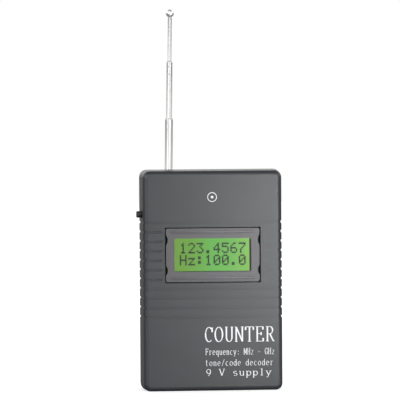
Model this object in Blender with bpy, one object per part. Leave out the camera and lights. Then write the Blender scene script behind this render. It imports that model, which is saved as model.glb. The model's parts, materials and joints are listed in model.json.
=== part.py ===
"""Hand-held frequency counter: a two-shell plastic case with a small character display,
a telescopic antenna, a side push button and a sliding door over a 9 V block battery.

Metres, +Z up. The case stands on its flat bottom, its display faces -Y, and the origin is
on the bottom face, midway across the case's width and depth.
"""

import math

import bmesh
import bpy
from mathutils import Matrix, Vector

# ---------------------------------------------------------------- driving dimensions

FIT = 0.0003                   # gap left between two pieces that touch
SINK = 0.0005                  # how far a rib or boss is rooted into its wall
PAST = 0.001                   # how far a cutter runs past the face it opens

# Case
CASE_WIDTH = 0.075
CASE_HEIGHT = 0.117
CASE_DEPTH = 0.026
WALL = 0.0022
CORNER_RADIUS = 0.0036         # outline corners, seen from the front
FRONT_FILLET = 0.0025          # edge between the front face and the side walls
BACK_FILLET = 0.0024
DRAFT = 0.00075                # each side and the top lean in by this from the parting line
FILLET_STEPS = 5
CORNER_STEPS = 5
PARTING_Y = 0.001              # plane where the two shells meet
TONGUE_INSET = 0.0012          # the front shell's tongue is this far inside the outline
TONGUE_HEIGHT = 0.0012
CAVITY_CORNER = 0.0018

# Grip grooves around the case
GROOVE_COUNT = 11
GROOVE_TOP_DROP = 0.0279       # highest groove below the case's top
GROOVE_PITCH = 0.005
GROOVE_WIDTH = 0.00125
GROOVE_DEPTH = 0.0005
GROOVE_WINDOW_MARGIN = 0.0017  # grooves beside the window stop this far from it
GROOVE_BACK_REACH = 0.0075      # how far they run in from the side, on the back

# Display window and display module
WINDOW_WIDTH = 0.0508
WINDOW_HEIGHT = 0.0294
WINDOW_X = 0.0
WINDOW_DROP = 0.04515          # window's centre below the case's top
WINDOW_CORNER = 0.0005
BEZEL_GAP = 0.0006             # window edge to bezel
BEZEL_RECESS = 0.0005          # bezel face behind the case's front face
BEZEL_SHEET = 0.0005
BEZEL_CORNER = 0.0006
BEZEL_NOTCH_DEPTH = 0.0009
BEZEL_NOTCH_LENGTH = 0.0052
BEZEL_NOTCH_OFFSET = 0.0080    # above and below the display's centre
BEZEL_NOTCH_STEPS = 6
BEAD_LENGTH = 0.0450
BEAD_WIDTH = 0.0017
BEAD_HEIGHT = 0.0003
BEAD_OFFSET = 0.0122           # above and below the display's centre
VIEW_WIDTH = 0.0407
VIEW_HEIGHT = 0.0176
VIEW_CORNER = 0.0009
GLASS_THICKNESS = 0.0022
GLASS_MARGIN = 0.0022          # display glass past the view opening, on each side
GLASS_LEDGE = 0.0022           # glass past the backlight, above and below, over the strips
BACKLIGHT_THICKNESS = 0.0032
STRIP_WIDTH = 0.0014
LCD_BOARD_SIDE = 0.0033         # display board past the window, left and right
LCD_BOARD_END = 0.00155         # display board past the window, above and below
BOARD_THICKNESS = 0.0016
LCD_HOLE_SIDE = 0.0016          # hole centre past the window, left and right
LCD_HOLE_INSET = 0.00045        # hole centre inside the window's upper and lower edges
LCD_BOSS_RADIUS = 0.0017
LCD_SCREW_RADIUS = 0.0007
LCD_SCREW_HEAD_RADIUS = 0.0014
LCD_SCREW_HEAD = 0.0008
LCD_SCREW_LENGTH = 0.0052
CONTROLLER_RADIUS = 0.0055      # moulded blob over the display's chip
HEADER_WIDTH = 0.0356
HEADER_HEIGHT = 0.0025

# Main board
BOARD_SIDE_MARGIN = 0.0035     # board edge to the case's outline, left and right
BOARD_BOTTOM_GAP = 0.0024      # board above the battery bay's roof
BOARD_TOP_MARGIN = 0.0115      # board edge below the case's top
BOARD_HOLE_INSET_X = 0.0060    # hole centre to the case's outline
BOARD_HOLE_LOW = 0.0040        # hole centre above the board's bottom edge
BOARD_HOLE_HIGH = 0.0045       # hole centre below the board's top edge
BOARD_BOSS_RADIUS = 0.0025
BOARD_SCREW_RADIUS = 0.0010
BOARD_SCREW_HEAD_RADIUS = 0.0021
BOARD_SCREW_HEAD = 0.0014
BOARD_SCREW_LENGTH = 0.0075

# Case screws
SCREW_INSET_X = 0.0060         # screw axis to the case's outline, left and right
SCREW_INSET_LOW = 0.0075
SCREW_INSET_HIGH = 0.0075
BOSS_RADIUS = 0.0030
SCREW_RADIUS = 0.0011
SCREW_HEAD_RADIUS = 0.0024
SCREW_HEAD = 0.0015
SCREW_RECESS = 0.0022          # depth of the recess that hides the head
SCREW_LENGTH = 0.0165
CROSS_WIDTH = 0.0006           # cross slot in a screw head

# Battery, its bay and its door
BATTERY_LENGTH = 0.0460
BATTERY_WIDTH = 0.0265
BATTERY_THICKNESS = 0.0175
BATTERY_EDGE = 0.0018
BATTERY_FLOOR_GAP = 0.0008     # battery above the bottom wall
BATTERY_BACK_GAP = 0.0009      # battery to the inside of the door
BATTERY_SHIFT_X = -0.0015
TERMINAL_SPACING = 0.0127
TERMINAL_HEIGHT = 0.0028
POSITIVE_RADIUS = 0.0028
NEGATIVE_RADIUS = 0.0036
SNAP_THICKNESS = 0.0048
SNAP_LENGTH = 0.0250
SNAP_WIDTH = 0.0110
BAY_WALL = 0.0015
BAY_ROOF_GAP = 0.0036          # battery to the partition above it, room for the leads
BAY_SIDE_GAP = 0.0029          # battery's free end to the bay's rib
DOOR_WIDTH = 0.0534
DOOR_TONGUE = 0.0015           # how far each side tongue reaches under the rear shell
DOOR_TONGUE_THICKNESS = 0.0009
DOOR_SKIN = 0.0009             # rear shell left over the tongues
DOOR_INSET = 0.0003            # inner face of the door, behind the wall's inner face
DOOR_TRAVEL_CLEARANCE = 0.0004
GRIP_COUNT = 5
GRIP_PITCH = 0.0022
GRIP_WIDTH = 0.0010
GRIP_LENGTH = 0.0180
GRIP_DEPTH = 0.0005
ARROW_HEIGHT = 0.0050

# Leads from the battery snap to the main board
LEAD_RADIUS = 0.00065
LEAD_SPACING = 0.0020
LEAD_SLOT_WIDTH = 0.0075
LEAD_RISE = 0.0020             # straight run out of the snap
LEAD_JOG = 0.0010              # sideways bend on the way up
LEAD_TAIL = 0.0050             # how far up the board the leads end

# Side push button
BUTTON_DROP = 0.0235           # button's axis below the case's top
BUTTON_RADIUS = 0.00175
BUTTON_REACH = 0.0024          # how far it stands out of the side wall
BUTTON_CLEARANCE = 0.0003
BUTTON_STROKE = 0.0003
BUTTON_SINK = 0.0018           # stem inside the switch body
BUTTON_CHAMFER = 0.0002
SWITCH_BODY_SIZE = (0.0038, 0.0066, 0.0062)
SWITCH_EDGE_GAP = 0.0006       # switch's outer face inside the board's edge

# Telescopic antenna
ANTENNA_X = -0.02165
ANTENNA_Y = 0.0034
ANTENNA_LEAN = math.radians(0.85)   # the antenna leans this far to +X from upright
TUBE_WALL = 0.00025
TUBE_GAP = 0.00025             # between one tube and the next, on the radius
NECK_GAP = 0.0001              # between a tube's rolled neck and what slides in it
TIP_RADIUS = 0.00105
TIP_EXPOSED = 0.0235
MIDDLE_EXPOSED = 0.0304
LOWER_EXPOSED = 0.0271
TUBE_OVERLAP = 0.0040          # how much of each tube stays inside the next, drawn out
BASE_TUBE_LENGTH = 0.0380
BASE_TUBE_DROP = 0.0002        # base tube's mouth below the case's top
NECK_LENGTH = 0.0008
FOOT_LENGTH = 0.0020
BALL_RADIUS = 0.00215
SPIGOT_RADIUS = 0.0005
TUBE_SEGMENTS = 16
BRACKET_WIDTH = 0.0085
BRACKET_HEIGHT = 0.0030
BRACKET_ROOF = 0.0008          # bracket metal over the base tube
BRACKET_HEIGHTS = (0.0040, 0.0220)   # above the base tube's lower end

# Board parts: centre x, share of the board's height, size x, size z, height off the board
MICROCONTROLLER = (0.0080, 0.394, 0.0100, 0.0180, 0.0026)
PRESCALER = (-0.0090, 0.745, 0.0050, 0.0040, 0.0016)
AMPLIFIER = (-0.0110, 0.891, 0.0030, 0.0030, 0.0012)
TRIMMER = (-0.0060, 0.190, 0.0065, 0.0065, 0.0040)
CRYSTAL = (0.0235, 0.569, 0.0110, 0.0046, 0.0036)
CRYSTAL_FLANGE = 0.0005
CHIP_EDGE = 0.0003

# Round parts: centre x, share of the board's height, radius, height off the board
REGULATOR = (0.0060, 0.102, 0.0023, 0.0046)
INPUT_CAPACITOR = (0.0240, 0.248, 0.0032, 0.0068)
OUTPUT_CAPACITOR = (-0.0180, 0.307, 0.0025, 0.0060)

# Turned outlines, as shares of the piece's radius and height
CAPACITOR_PROFILE = ((0.0, 0.0), (1.0, 0.0), (1.0, 0.12), (0.9, 0.18), (1.0, 0.26), (1.0, 0.96),
                     (0.92, 1.0), (0.0, 1.0))
TERMINAL_PROFILE = ((0.0, 0.0), (1.0, 0.0), (0.88, 0.35), (1.0, 1.0), (0.6, 1.0), (0.6, 0.5),
                    (0.0, 0.5))
CONTROLLER_PROFILE = ((0.0, 0.0), (1.0, 0.0), (0.85, 0.7), (0.0, 1.0))

# ---------------------------------------------------------------- derived places

FRONT_Y = -CASE_DEPTH / 2
BACK_Y = CASE_DEPTH / 2
FRONT_INNER_Y = FRONT_Y + WALL
BACK_INNER_Y = BACK_Y - WALL
MEET_Y = PARTING_Y + TONGUE_HEIGHT         # inner ribs and bosses meet here
SCREW_SEAT_Y = BACK_Y - SCREW_RECESS + FIT
WINDOW_Z = CASE_HEIGHT - WINDOW_DROP
BUTTON_Z = CASE_HEIGHT - BUTTON_DROP
GROOVE_LOWEST_Z = CASE_HEIGHT - GROOVE_TOP_DROP - (GROOVE_COUNT - 1) * GROOVE_PITCH
CAVITY_HALF_WIDTH = CASE_WIDTH / 2 - WALL - DRAFT

BEZEL_Y = FRONT_Y + BEZEL_RECESS
BEZEL_WIDTH = WINDOW_WIDTH - 2 * BEZEL_GAP
BEZEL_HEIGHT = WINDOW_HEIGHT - 2 * BEZEL_GAP
GLASS_Y = BEZEL_Y + BEZEL_SHEET + FIT
BACKLIGHT_Y = GLASS_Y + GLASS_THICKNESS + FIT
LCD_BOARD_Y = BACKLIGHT_Y + BACKLIGHT_THICKNESS + FIT
LCD_BOARD_BACK_Y = LCD_BOARD_Y + BOARD_THICKNESS
LCD_BOARD_WIDTH = WINDOW_WIDTH + 2 * LCD_BOARD_SIDE
LCD_BOARD_HEIGHT = WINDOW_HEIGHT + 2 * LCD_BOARD_END
LCD_HOLE_SPAN_X = WINDOW_WIDTH + 2 * LCD_HOLE_SIDE
LCD_HOLE_SPAN_Z = WINDOW_HEIGHT - 2 * LCD_HOLE_INSET
BOARD_Y = LCD_BOARD_BACK_Y + FIT + LCD_SCREW_HEAD + FIT
BOARD_BACK_Y = BOARD_Y + BOARD_THICKNESS
PARTS_Y = BOARD_BACK_Y + FIT               # parts on the board's back start here

BATTERY_BACK_Y = BACK_INNER_Y + DOOR_INSET - BATTERY_BACK_GAP
BATTERY_Y = BATTERY_BACK_Y - BATTERY_THICKNESS / 2
BATTERY_Z = WALL + BATTERY_FLOOR_GAP + BATTERY_WIDTH / 2
BATTERY_LEFT_X = BATTERY_SHIFT_X - BATTERY_LENGTH / 2
BATTERY_RIGHT_X = BATTERY_SHIFT_X + BATTERY_LENGTH / 2
BAY_TOP_Z = WALL + BATTERY_FLOOR_GAP + BATTERY_WIDTH + BAY_ROOF_GAP
SNAP_LEFT_X = BATTERY_RIGHT_X + FIT
SNAP_RIGHT_X = SNAP_LEFT_X + SNAP_THICKNESS
DOOR_TOP_Z = BAY_TOP_Z + BAY_WALL / 2
DOOR_TONGUE_Y = BACK_INNER_Y + DOOR_INSET

BOARD_HALF_WIDTH = CASE_WIDTH / 2 - BOARD_SIDE_MARGIN
BOARD_BOTTOM_Z = BAY_TOP_Z + BAY_WALL + BOARD_BOTTOM_GAP
BOARD_TOP_Z = CASE_HEIGHT - BOARD_TOP_MARGIN
BUTTON_Y = BOARD_Y - FIT - SWITCH_BODY_SIZE[1] / 2
SWITCH_X = -BOARD_HALF_WIDTH + SWITCH_EDGE_GAP

LOWER_RADIUS = TIP_RADIUS + 2 * (TUBE_WALL + TUBE_GAP)
MIDDLE_RADIUS = TIP_RADIUS + TUBE_WALL + TUBE_GAP
BASE_TUBE_RADIUS = LOWER_RADIUS + TUBE_WALL + TUBE_GAP


# ---------------------------------------------------------------- general helpers

def clear_scene():
    """Removes whatever objects the open scene holds."""
    for old in list(bpy.data.objects):
        bpy.data.objects.remove(old, do_unlink=True)


def make_material(name, colour, roughness, metallic=0.0, alpha=1.0):
    """A Principled material of one colour."""
    material = bpy.data.materials.new(name)
    material.use_nodes = True
    shader = material.node_tree.nodes["Principled BSDF"]
    shader.inputs["Base Color"].default_value = (*colour, 1.0)
    shader.inputs["Roughness"].default_value = roughness
    shader.inputs["Metallic"].default_value = metallic
    shader.inputs["Alpha"].default_value = alpha
    material.diffuse_color = (*colour, alpha)
    return material


def add_object(name, mesh_builder, material=None, smooth_angle=None):
    """Links a new object whose mesh is the given bmesh, faces turned outwards."""
    bmesh.ops.recalc_face_normals(mesh_builder, faces=mesh_builder.faces)
    mesh = bpy.data.meshes.new(name)
    mesh_builder.to_mesh(mesh)
    mesh_builder.free()
    if material:
        mesh.materials.append(material)
    if smooth_angle:
        mesh.shade_smooth()
        mesh.set_sharp_from_angle(angle=math.radians(smooth_angle))
    added = bpy.data.objects.new(name, mesh)
    bpy.context.scene.collection.objects.link(added)
    return added


def make_tool(tool):
    """Marks an object that only shapes others, so that it isn't a piece itself."""
    tool.hide_render = True
    tool.display_type = "WIRE"
    return tool


def combine(target, tool, operation):
    """Adds an exact Boolean with the tool to the target."""
    make_tool(tool)
    boolean = target.modifiers.new(f"{operation} {tool.name}", "BOOLEAN")
    boolean.operation = operation
    boolean.solver = "EXACT"
    boolean.object = tool
    return target


def add_box(builder, low, high):
    """Adds a box between two corners to a bmesh, and returns its vertices."""
    size = Vector(high) - Vector(low)
    place = Matrix.Translation((Vector(high) + Vector(low)) / 2) @ Matrix.Diagonal((*size, 1.0))
    return bmesh.ops.create_cube(builder, size=1.0, matrix=place)["verts"]


def add_cylinder(builder, centre, radius, length, axis, segments=20):
    """Adds a cylinder along axis, starting at centre and running length along it."""
    direction = Vector(axis).normalized()
    turn = direction.to_track_quat("Z", "Y").to_matrix().to_4x4()
    middle = Vector(centre) + direction * length / 2
    bmesh.ops.create_cone(builder, cap_ends=True, segments=segments, radius1=radius,
                          radius2=radius, depth=length, matrix=Matrix.Translation(middle) @ turn)


def box_object(name, low, high, material=None, edge=0.0):
    """A box as an object, with its edges bevelled by edge."""
    builder = bmesh.new()
    add_box(builder, low, high)
    if edge:
        bmesh.ops.bevel(builder, geom=builder.edges[:], offset=edge, segments=2, profile=0.5,
                        affect="EDGES")
    return add_object(name, builder, material)


def boxes_object(name, boxes):
    """Several separate boxes as one shaping tool."""
    builder = bmesh.new()
    for low, high in boxes:
        add_box(builder, low, high)
    return add_object(name, builder)


def cylinders_object(name, centres, radius, length, axis, segments=20):
    """Several equal cylinders as one shaping tool."""
    builder = bmesh.new()
    for centre in centres:
        add_cylinder(builder, centre, radius, length, axis, segments)
    return add_object(name, builder)


def rounded_outline(width, height, radius, centre_x=0.0, centre_z=0.0, steps=CORNER_STEPS):
    """Points (x, z) around a rectangle with round corners, anticlockwise from the front."""
    points = []
    corners = ((1, -1, -90), (1, 1, 0), (-1, 1, 90), (-1, -1, 180))
    for side_x, side_z, start in corners:
        corner_x = centre_x + side_x * (width / 2 - radius)
        corner_z = centre_z + side_z * (height / 2 - radius)
        for step in range(steps + 1):
            angle = math.radians(start + 90 * step / steps)
            points.append((corner_x + radius * math.cos(angle),
                           corner_z + radius * math.sin(angle)))
    return points


def add_loft(builder, rings):
    """Joins rings of equal point count by quads and closes both ends."""
    loops = [[builder.verts.new(point) for point in ring] for ring in rings]
    count = len(loops[0])
    for near, far in zip(loops, loops[1:]):
        for index in range(count):
            following = (index + 1) % count
            builder.faces.new((near[index], near[following], far[following], far[index]))
    builder.faces.new(loops[0])
    builder.faces.new(loops[-1])


def outline_prism(builder, outline, low_y, high_y):
    """Adds a prism of an (x, z) outline between two depths."""
    add_loft(builder, [[(x, y, z) for x, z in outline] for y in (low_y, high_y)])


def turned_mesh(profile, closed, segments):
    """A bmesh turned about +Z from (radius, height) points.

    A closed profile makes a ring. An open one starts and ends on the axis.
    """
    builder = bmesh.new()
    rings = []
    for radius, height in profile:
        if radius == 0.0:
            rings.append([builder.verts.new((0.0, 0.0, height))])
            continue
        ring = []
        for index in range(segments):
            angle = 2 * math.pi * index / segments
            ring.append(builder.verts.new((radius * math.cos(angle),
                                           radius * math.sin(angle), height)))
        rings.append(ring)
    pairs = list(zip(rings, rings[1:]))
    if closed:
        pairs.append((rings[-1], rings[0]))
    for near, far in pairs:
        for index in range(segments):
            following = (index + 1) % segments
            if len(near) == 1:
                builder.faces.new((near[0], far[following], far[index]))
            elif len(far) == 1:
                builder.faces.new((near[index], near[following], far[0]))
            else:
                builder.faces.new((near[index], near[following], far[following], far[index]))
    return builder


def turned_object(name, profile, material, closed=False, segments=20, smooth_angle=35):
    """A turned piece about its own +Z."""
    builder = turned_mesh(profile, closed, segments)
    return add_object(name, builder, material, smooth_angle)


# ---------------------------------------------------------------- materials

def make_materials():
    """Every material of the model, by name."""
    return {
        "case": make_material("case_plastic", (0.075, 0.080, 0.086), 0.55),
        "button": make_material("button_plastic", (0.020, 0.020, 0.022), 0.45),
        "chrome": make_material("antenna_chrome", (0.86, 0.86, 0.85), 0.08, 1.0),
        "bezel": make_material("bezel_steel", (0.16, 0.15, 0.155), 0.40, 0.6),
        "glass": make_material("display_glass", (0.22, 0.55, 0.12), 0.12),
        "backlight": make_material("backlight_acrylic", (0.80, 0.84, 0.70), 0.30),
        "strip": make_material("zebra_rubber", (0.55, 0.54, 0.50), 0.70),
        "board": make_material("board_laminate", (0.030, 0.20, 0.070), 0.40),
        "chip": make_material("chip_epoxy", (0.018, 0.018, 0.019), 0.50),
        "can": make_material("crystal_can", (0.70, 0.70, 0.69), 0.25, 1.0),
        "sleeve": make_material("capacitor_sleeve", (0.020, 0.025, 0.090), 0.35),
        "trimmer": make_material("trimmer_blue", (0.030, 0.10, 0.45), 0.45),
        "screw": make_material("screw_zinc", (0.55, 0.55, 0.54), 0.30, 1.0),
        "brass": make_material("bracket_brass", (0.72, 0.55, 0.24), 0.30, 1.0),
        "battery": make_material("battery_jacket", (0.12, 0.13, 0.15), 0.35),
        "terminal": make_material("terminal_nickel", (0.66, 0.64, 0.60), 0.25, 1.0),
        "snap": make_material("snap_vinyl", (0.025, 0.025, 0.025), 0.55),
        "red": make_material("lead_red", (0.55, 0.020, 0.018), 0.45),
        "black": make_material("lead_black", (0.015, 0.015, 0.015), 0.45),
    }


# ---------------------------------------------------------------- case outline

def case_ring(inset, y, draft):
    """The case's outline at depth y, drawn in by inset and, except at the bottom, by draft."""
    width = CASE_WIDTH - 2 * (inset + draft)
    low_z = inset
    high_z = CASE_HEIGHT - inset - draft
    radius = max(CORNER_RADIUS - inset, FIT)
    outline = rounded_outline(width, high_z - low_z, radius, 0.0, (low_z + high_z) / 2)
    return [(x, y, z) for x, z in outline]


def edge_stations(face_y, fillet, depth=0.0):
    """Stations (inset, y, draft) from a front or back face round its fillet to the wall.

    Depth sinks them evenly into the plastic, as a groove's floor is.
    """
    inward = 1 if face_y < PARTING_Y else -1
    travel = abs(face_y - PARTING_Y)
    stations = []
    for step in range(FILLET_STEPS + 1):
        angle = math.radians(90 * step / FILLET_STEPS)
        inset = fillet - (fillet - depth) * math.sin(angle)
        from_face = fillet - (fillet - depth) * math.cos(angle)
        draft = DRAFT * (1 - from_face / travel)
        stations.append((inset, face_y + inward * from_face, draft))
    return stations


def front_outer_rings():
    """Rings of the front shell's outer skin, from its face to the end of its tongue."""
    rings = [case_ring(*station) for station in edge_stations(FRONT_Y, FRONT_FILLET)]
    rings.append(case_ring(0.0, PARTING_Y, 0.0))
    rings.append(case_ring(TONGUE_INSET, PARTING_Y, 0.0))
    rings.append(case_ring(TONGUE_INSET, MEET_Y, 0.0))
    return rings


def rear_outer_rings():
    """Rings of the rear shell's outer skin, from the parting line to its face."""
    rings = [case_ring(0.0, PARTING_Y + FIT, 0.0)]
    stations = edge_stations(BACK_Y, BACK_FILLET)
    rings.extend(case_ring(*station) for station in reversed(stations))
    return rings


def loft_object(name, rings, material=None, smooth_angle=None):
    """A loft as an object."""
    builder = bmesh.new()
    add_loft(builder, rings)
    return add_object(name, builder, material, smooth_angle)


def cavity_ring(y):
    """The inside of the case at depth y."""
    high_z = CASE_HEIGHT - WALL - DRAFT
    outline = rounded_outline(2 * CAVITY_HALF_WIDTH, high_z - WALL, CAVITY_CORNER,
                              0.0, (high_z + WALL) / 2)
    return [(x, y, z) for x, z in outline]


def case_screw_places():
    """Axis (x, z) of each case screw."""
    across = CASE_WIDTH / 2 - SCREW_INSET_X
    heights = (SCREW_INSET_LOW, CASE_HEIGHT - SCREW_INSET_HIGH)
    return [(side * across, height) for height in heights for side in (-1, 1)]


def board_screw_places():
    """Axis (x, z) of each screw through the main board."""
    across = CASE_WIDTH / 2 - BOARD_HOLE_INSET_X
    heights = (BOARD_BOTTOM_Z + BOARD_HOLE_LOW, BOARD_TOP_Z - BOARD_HOLE_HIGH)
    return [(side * across, height) for height in heights for side in (-1, 1)]


def lcd_screw_places():
    """Axis (x, z) of each screw through the display board."""
    return [(WINDOW_X + side_x * LCD_HOLE_SPAN_X / 2, WINDOW_Z + side_z * LCD_HOLE_SPAN_Z / 2)
            for side_z in (-1, 1) for side_x in (-1, 1)]


def at_depth(places, y):
    """Turns (x, z) places into points at depth y."""
    return [(x, y, z) for x, z in places]


# ---------------------------------------------------------------- grooves

def groove_band(row):
    """Lower and upper height of one groove, counted from the lowest."""
    centre = GROOVE_LOWEST_Z + row * GROOVE_PITCH
    return centre - GROOVE_WIDTH / 2, centre + GROOVE_WIDTH / 2


def groove_passes_window(band):
    """True where a groove's height crosses the display window."""
    low, high = band
    reach = WINDOW_HEIGHT / 2 + GROOVE_WINDOW_MARGIN / 2
    return low < WINDOW_Z + reach and high > WINDOW_Z - reach


def add_groove(builder, outline, band):
    """Adds a groove cutter: an (x, y) outline over the groove's height."""
    add_loft(builder, [[(x, y, z) for x, y in outline] for z in band])


def groove_floor(face_y, fillet, end_y):
    """Points (x, y) of the right-hand groove floor, from the face round to end_y."""
    points = []
    for inset, y, draft in edge_stations(face_y, fillet, GROOVE_DEPTH):
        points.append((CASE_WIDTH / 2 - inset - draft, y))
    points.append((CASE_WIDTH / 2 - GROOVE_DEPTH, end_y))
    return points


def side_groove(floor, face_y, start_x, side):
    """Outline of a groove that runs from start_x round one side of the case."""
    outward = -PAST if face_y < PARTING_Y else PAST
    face_depth = floor[0][1]
    outline = [(start_x, face_depth)]
    outline.extend((side * x, y) for x, y in floor)
    outline.append((side * (CASE_WIDTH / 2 + PAST), floor[-1][1]))
    outline.append((side * (CASE_WIDTH / 2 + PAST), face_y + outward))
    outline.append((start_x, face_y + outward))
    return outline


def front_grooves():
    """Cutter for all the grooves of the front shell."""
    floor = groove_floor(FRONT_Y, FRONT_FILLET, PARTING_Y + PAST / 2)
    outer_x = CASE_WIDTH / 2 + PAST
    stop = WINDOW_WIDTH / 2 + GROOVE_WINDOW_MARGIN
    builder = bmesh.new()
    for row in range(GROOVE_COUNT):
        band = groove_band(row)
        if groove_passes_window(band):
            for side in (-1, 1):
                outline = side_groove(floor, FRONT_Y, WINDOW_X + side * stop, side)
                add_groove(builder, outline, band)
            continue
        outline = [(-x, y) for x, y in reversed(floor)]
        outline.extend(floor)
        outline.extend([(outer_x, floor[-1][1]), (outer_x, FRONT_Y - PAST),
                        (-outer_x, FRONT_Y - PAST), (-outer_x, floor[-1][1])])
        add_groove(builder, outline, band)
    return add_object("front_groove_cutter", builder)


def rear_grooves():
    """Cutter for the grooves round both sides of the rear shell."""
    floor = groove_floor(BACK_Y, BACK_FILLET, PARTING_Y - PAST / 2)
    start_x = CASE_WIDTH / 2 - GROOVE_BACK_REACH
    builder = bmesh.new()
    for row in range(GROOVE_COUNT):
        for side in (-1, 1):
            outline = side_groove(floor, BACK_Y, side * start_x, side)
            add_groove(builder, outline, groove_band(row))
    return add_object("rear_groove_cutter", builder)


# ---------------------------------------------------------------- shells

def antenna_hole(name):
    """Cutter for the hole that the antenna rises through, in both shells."""
    low_z = CASE_HEIGHT - WALL - DRAFT - PAST
    return cylinders_object(name, [(ANTENNA_X, ANTENNA_Y, low_z)], BASE_TUBE_RADIUS + FIT,
                            WALL + DRAFT + 2 * PAST, (0, 0, 1), 24)


def bay_roof_box(low_y, high_y):
    """The partition over the battery bay, between two depths."""
    reach = CAVITY_HALF_WIDTH + SINK
    return ((-reach, low_y, BAY_TOP_Z), (reach, high_y, BAY_TOP_Z + BAY_WALL))


def lead_slot(name):
    """Cutter for the notch in the partition that the battery leads pass through."""
    centre_x = SNAP_LEFT_X
    half = LEAD_SLOT_WIDTH / 2
    return box_object(name, (centre_x - half, FRONT_INNER_Y + WALL, BAY_TOP_Z - PAST),
                      (centre_x + half, MEET_Y + LEAD_SLOT_WIDTH / 2, BAY_TOP_Z + BAY_WALL + PAST))


def make_front_shell(materials):
    """The front shell: face, side walls, window, grooves, bosses and half the partition."""
    shell = loft_object("front_shell", front_outer_rings(), materials["case"], 32)
    combine(shell, loft_object("front_cavity", [cavity_ring(FRONT_INNER_Y),
                                                cavity_ring(MEET_Y + PAST)]), "DIFFERENCE")
    root_y = FRONT_INNER_Y - SINK
    along_y = (0, 1, 0)
    combine(shell, cylinders_object("front_case_bosses", at_depth(case_screw_places(), root_y),
                                    BOSS_RADIUS, MEET_Y - root_y, along_y), "UNION")
    board_boss_end = BOARD_Y - FIT
    combine(shell, cylinders_object("board_bosses", at_depth(board_screw_places(), root_y),
                                    BOARD_BOSS_RADIUS, board_boss_end - root_y, along_y), "UNION")
    lcd_boss_end = LCD_BOARD_Y - FIT
    combine(shell, cylinders_object("display_bosses", at_depth(lcd_screw_places(), root_y),
                                    LCD_BOSS_RADIUS, lcd_boss_end - root_y, along_y, 14), "UNION")
    combine(shell, boxes_object("front_bay_roof", [bay_roof_box(root_y, MEET_Y)]), "UNION")
    combine(shell, lead_slot("front_lead_slot"), "DIFFERENCE")

    window = bmesh.new()
    outline_prism(window, rounded_outline(WINDOW_WIDTH, WINDOW_HEIGHT, WINDOW_CORNER,
                                          WINDOW_X, WINDOW_Z, 2),
                  FRONT_Y - PAST, FRONT_INNER_Y + PAST)
    combine(shell, add_object("window_cutter", window), "DIFFERENCE")
    combine(shell, front_grooves(), "DIFFERENCE")

    case_hole_y = SCREW_SEAT_Y - SCREW_LENGTH - FIT
    combine(shell, cylinders_object("front_case_pilots", at_depth(case_screw_places(), case_hole_y),
                                    SCREW_RADIUS + FIT, MEET_Y + PAST - case_hole_y, along_y, 14),
            "DIFFERENCE")
    board_hole_y = BOARD_Y - (BOARD_SCREW_LENGTH - BOARD_THICKNESS)
    combine(shell, cylinders_object("board_pilots", at_depth(board_screw_places(), board_hole_y),
                                    BOARD_SCREW_RADIUS + FIT, board_boss_end + PAST - board_hole_y,
                                    along_y, 14), "DIFFERENCE")
    lcd_hole_y = LCD_BOARD_Y - (LCD_SCREW_LENGTH - BOARD_THICKNESS)
    combine(shell, cylinders_object("display_pilots", at_depth(lcd_screw_places(), lcd_hole_y),
                                    LCD_SCREW_RADIUS + FIT, lcd_boss_end + PAST - lcd_hole_y,
                                    along_y, 12), "DIFFERENCE")
    combine(shell, cylinders_object("button_hole", [(-CASE_WIDTH / 2 - PAST, BUTTON_Y, BUTTON_Z)],
                                    BUTTON_RADIUS + BUTTON_CLEARANCE, WALL + DRAFT + 2 * PAST,
                                    (1, 0, 0), 24), "DIFFERENCE")
    combine(shell, antenna_hole("front_antenna_hole"), "DIFFERENCE")
    return shell


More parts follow.
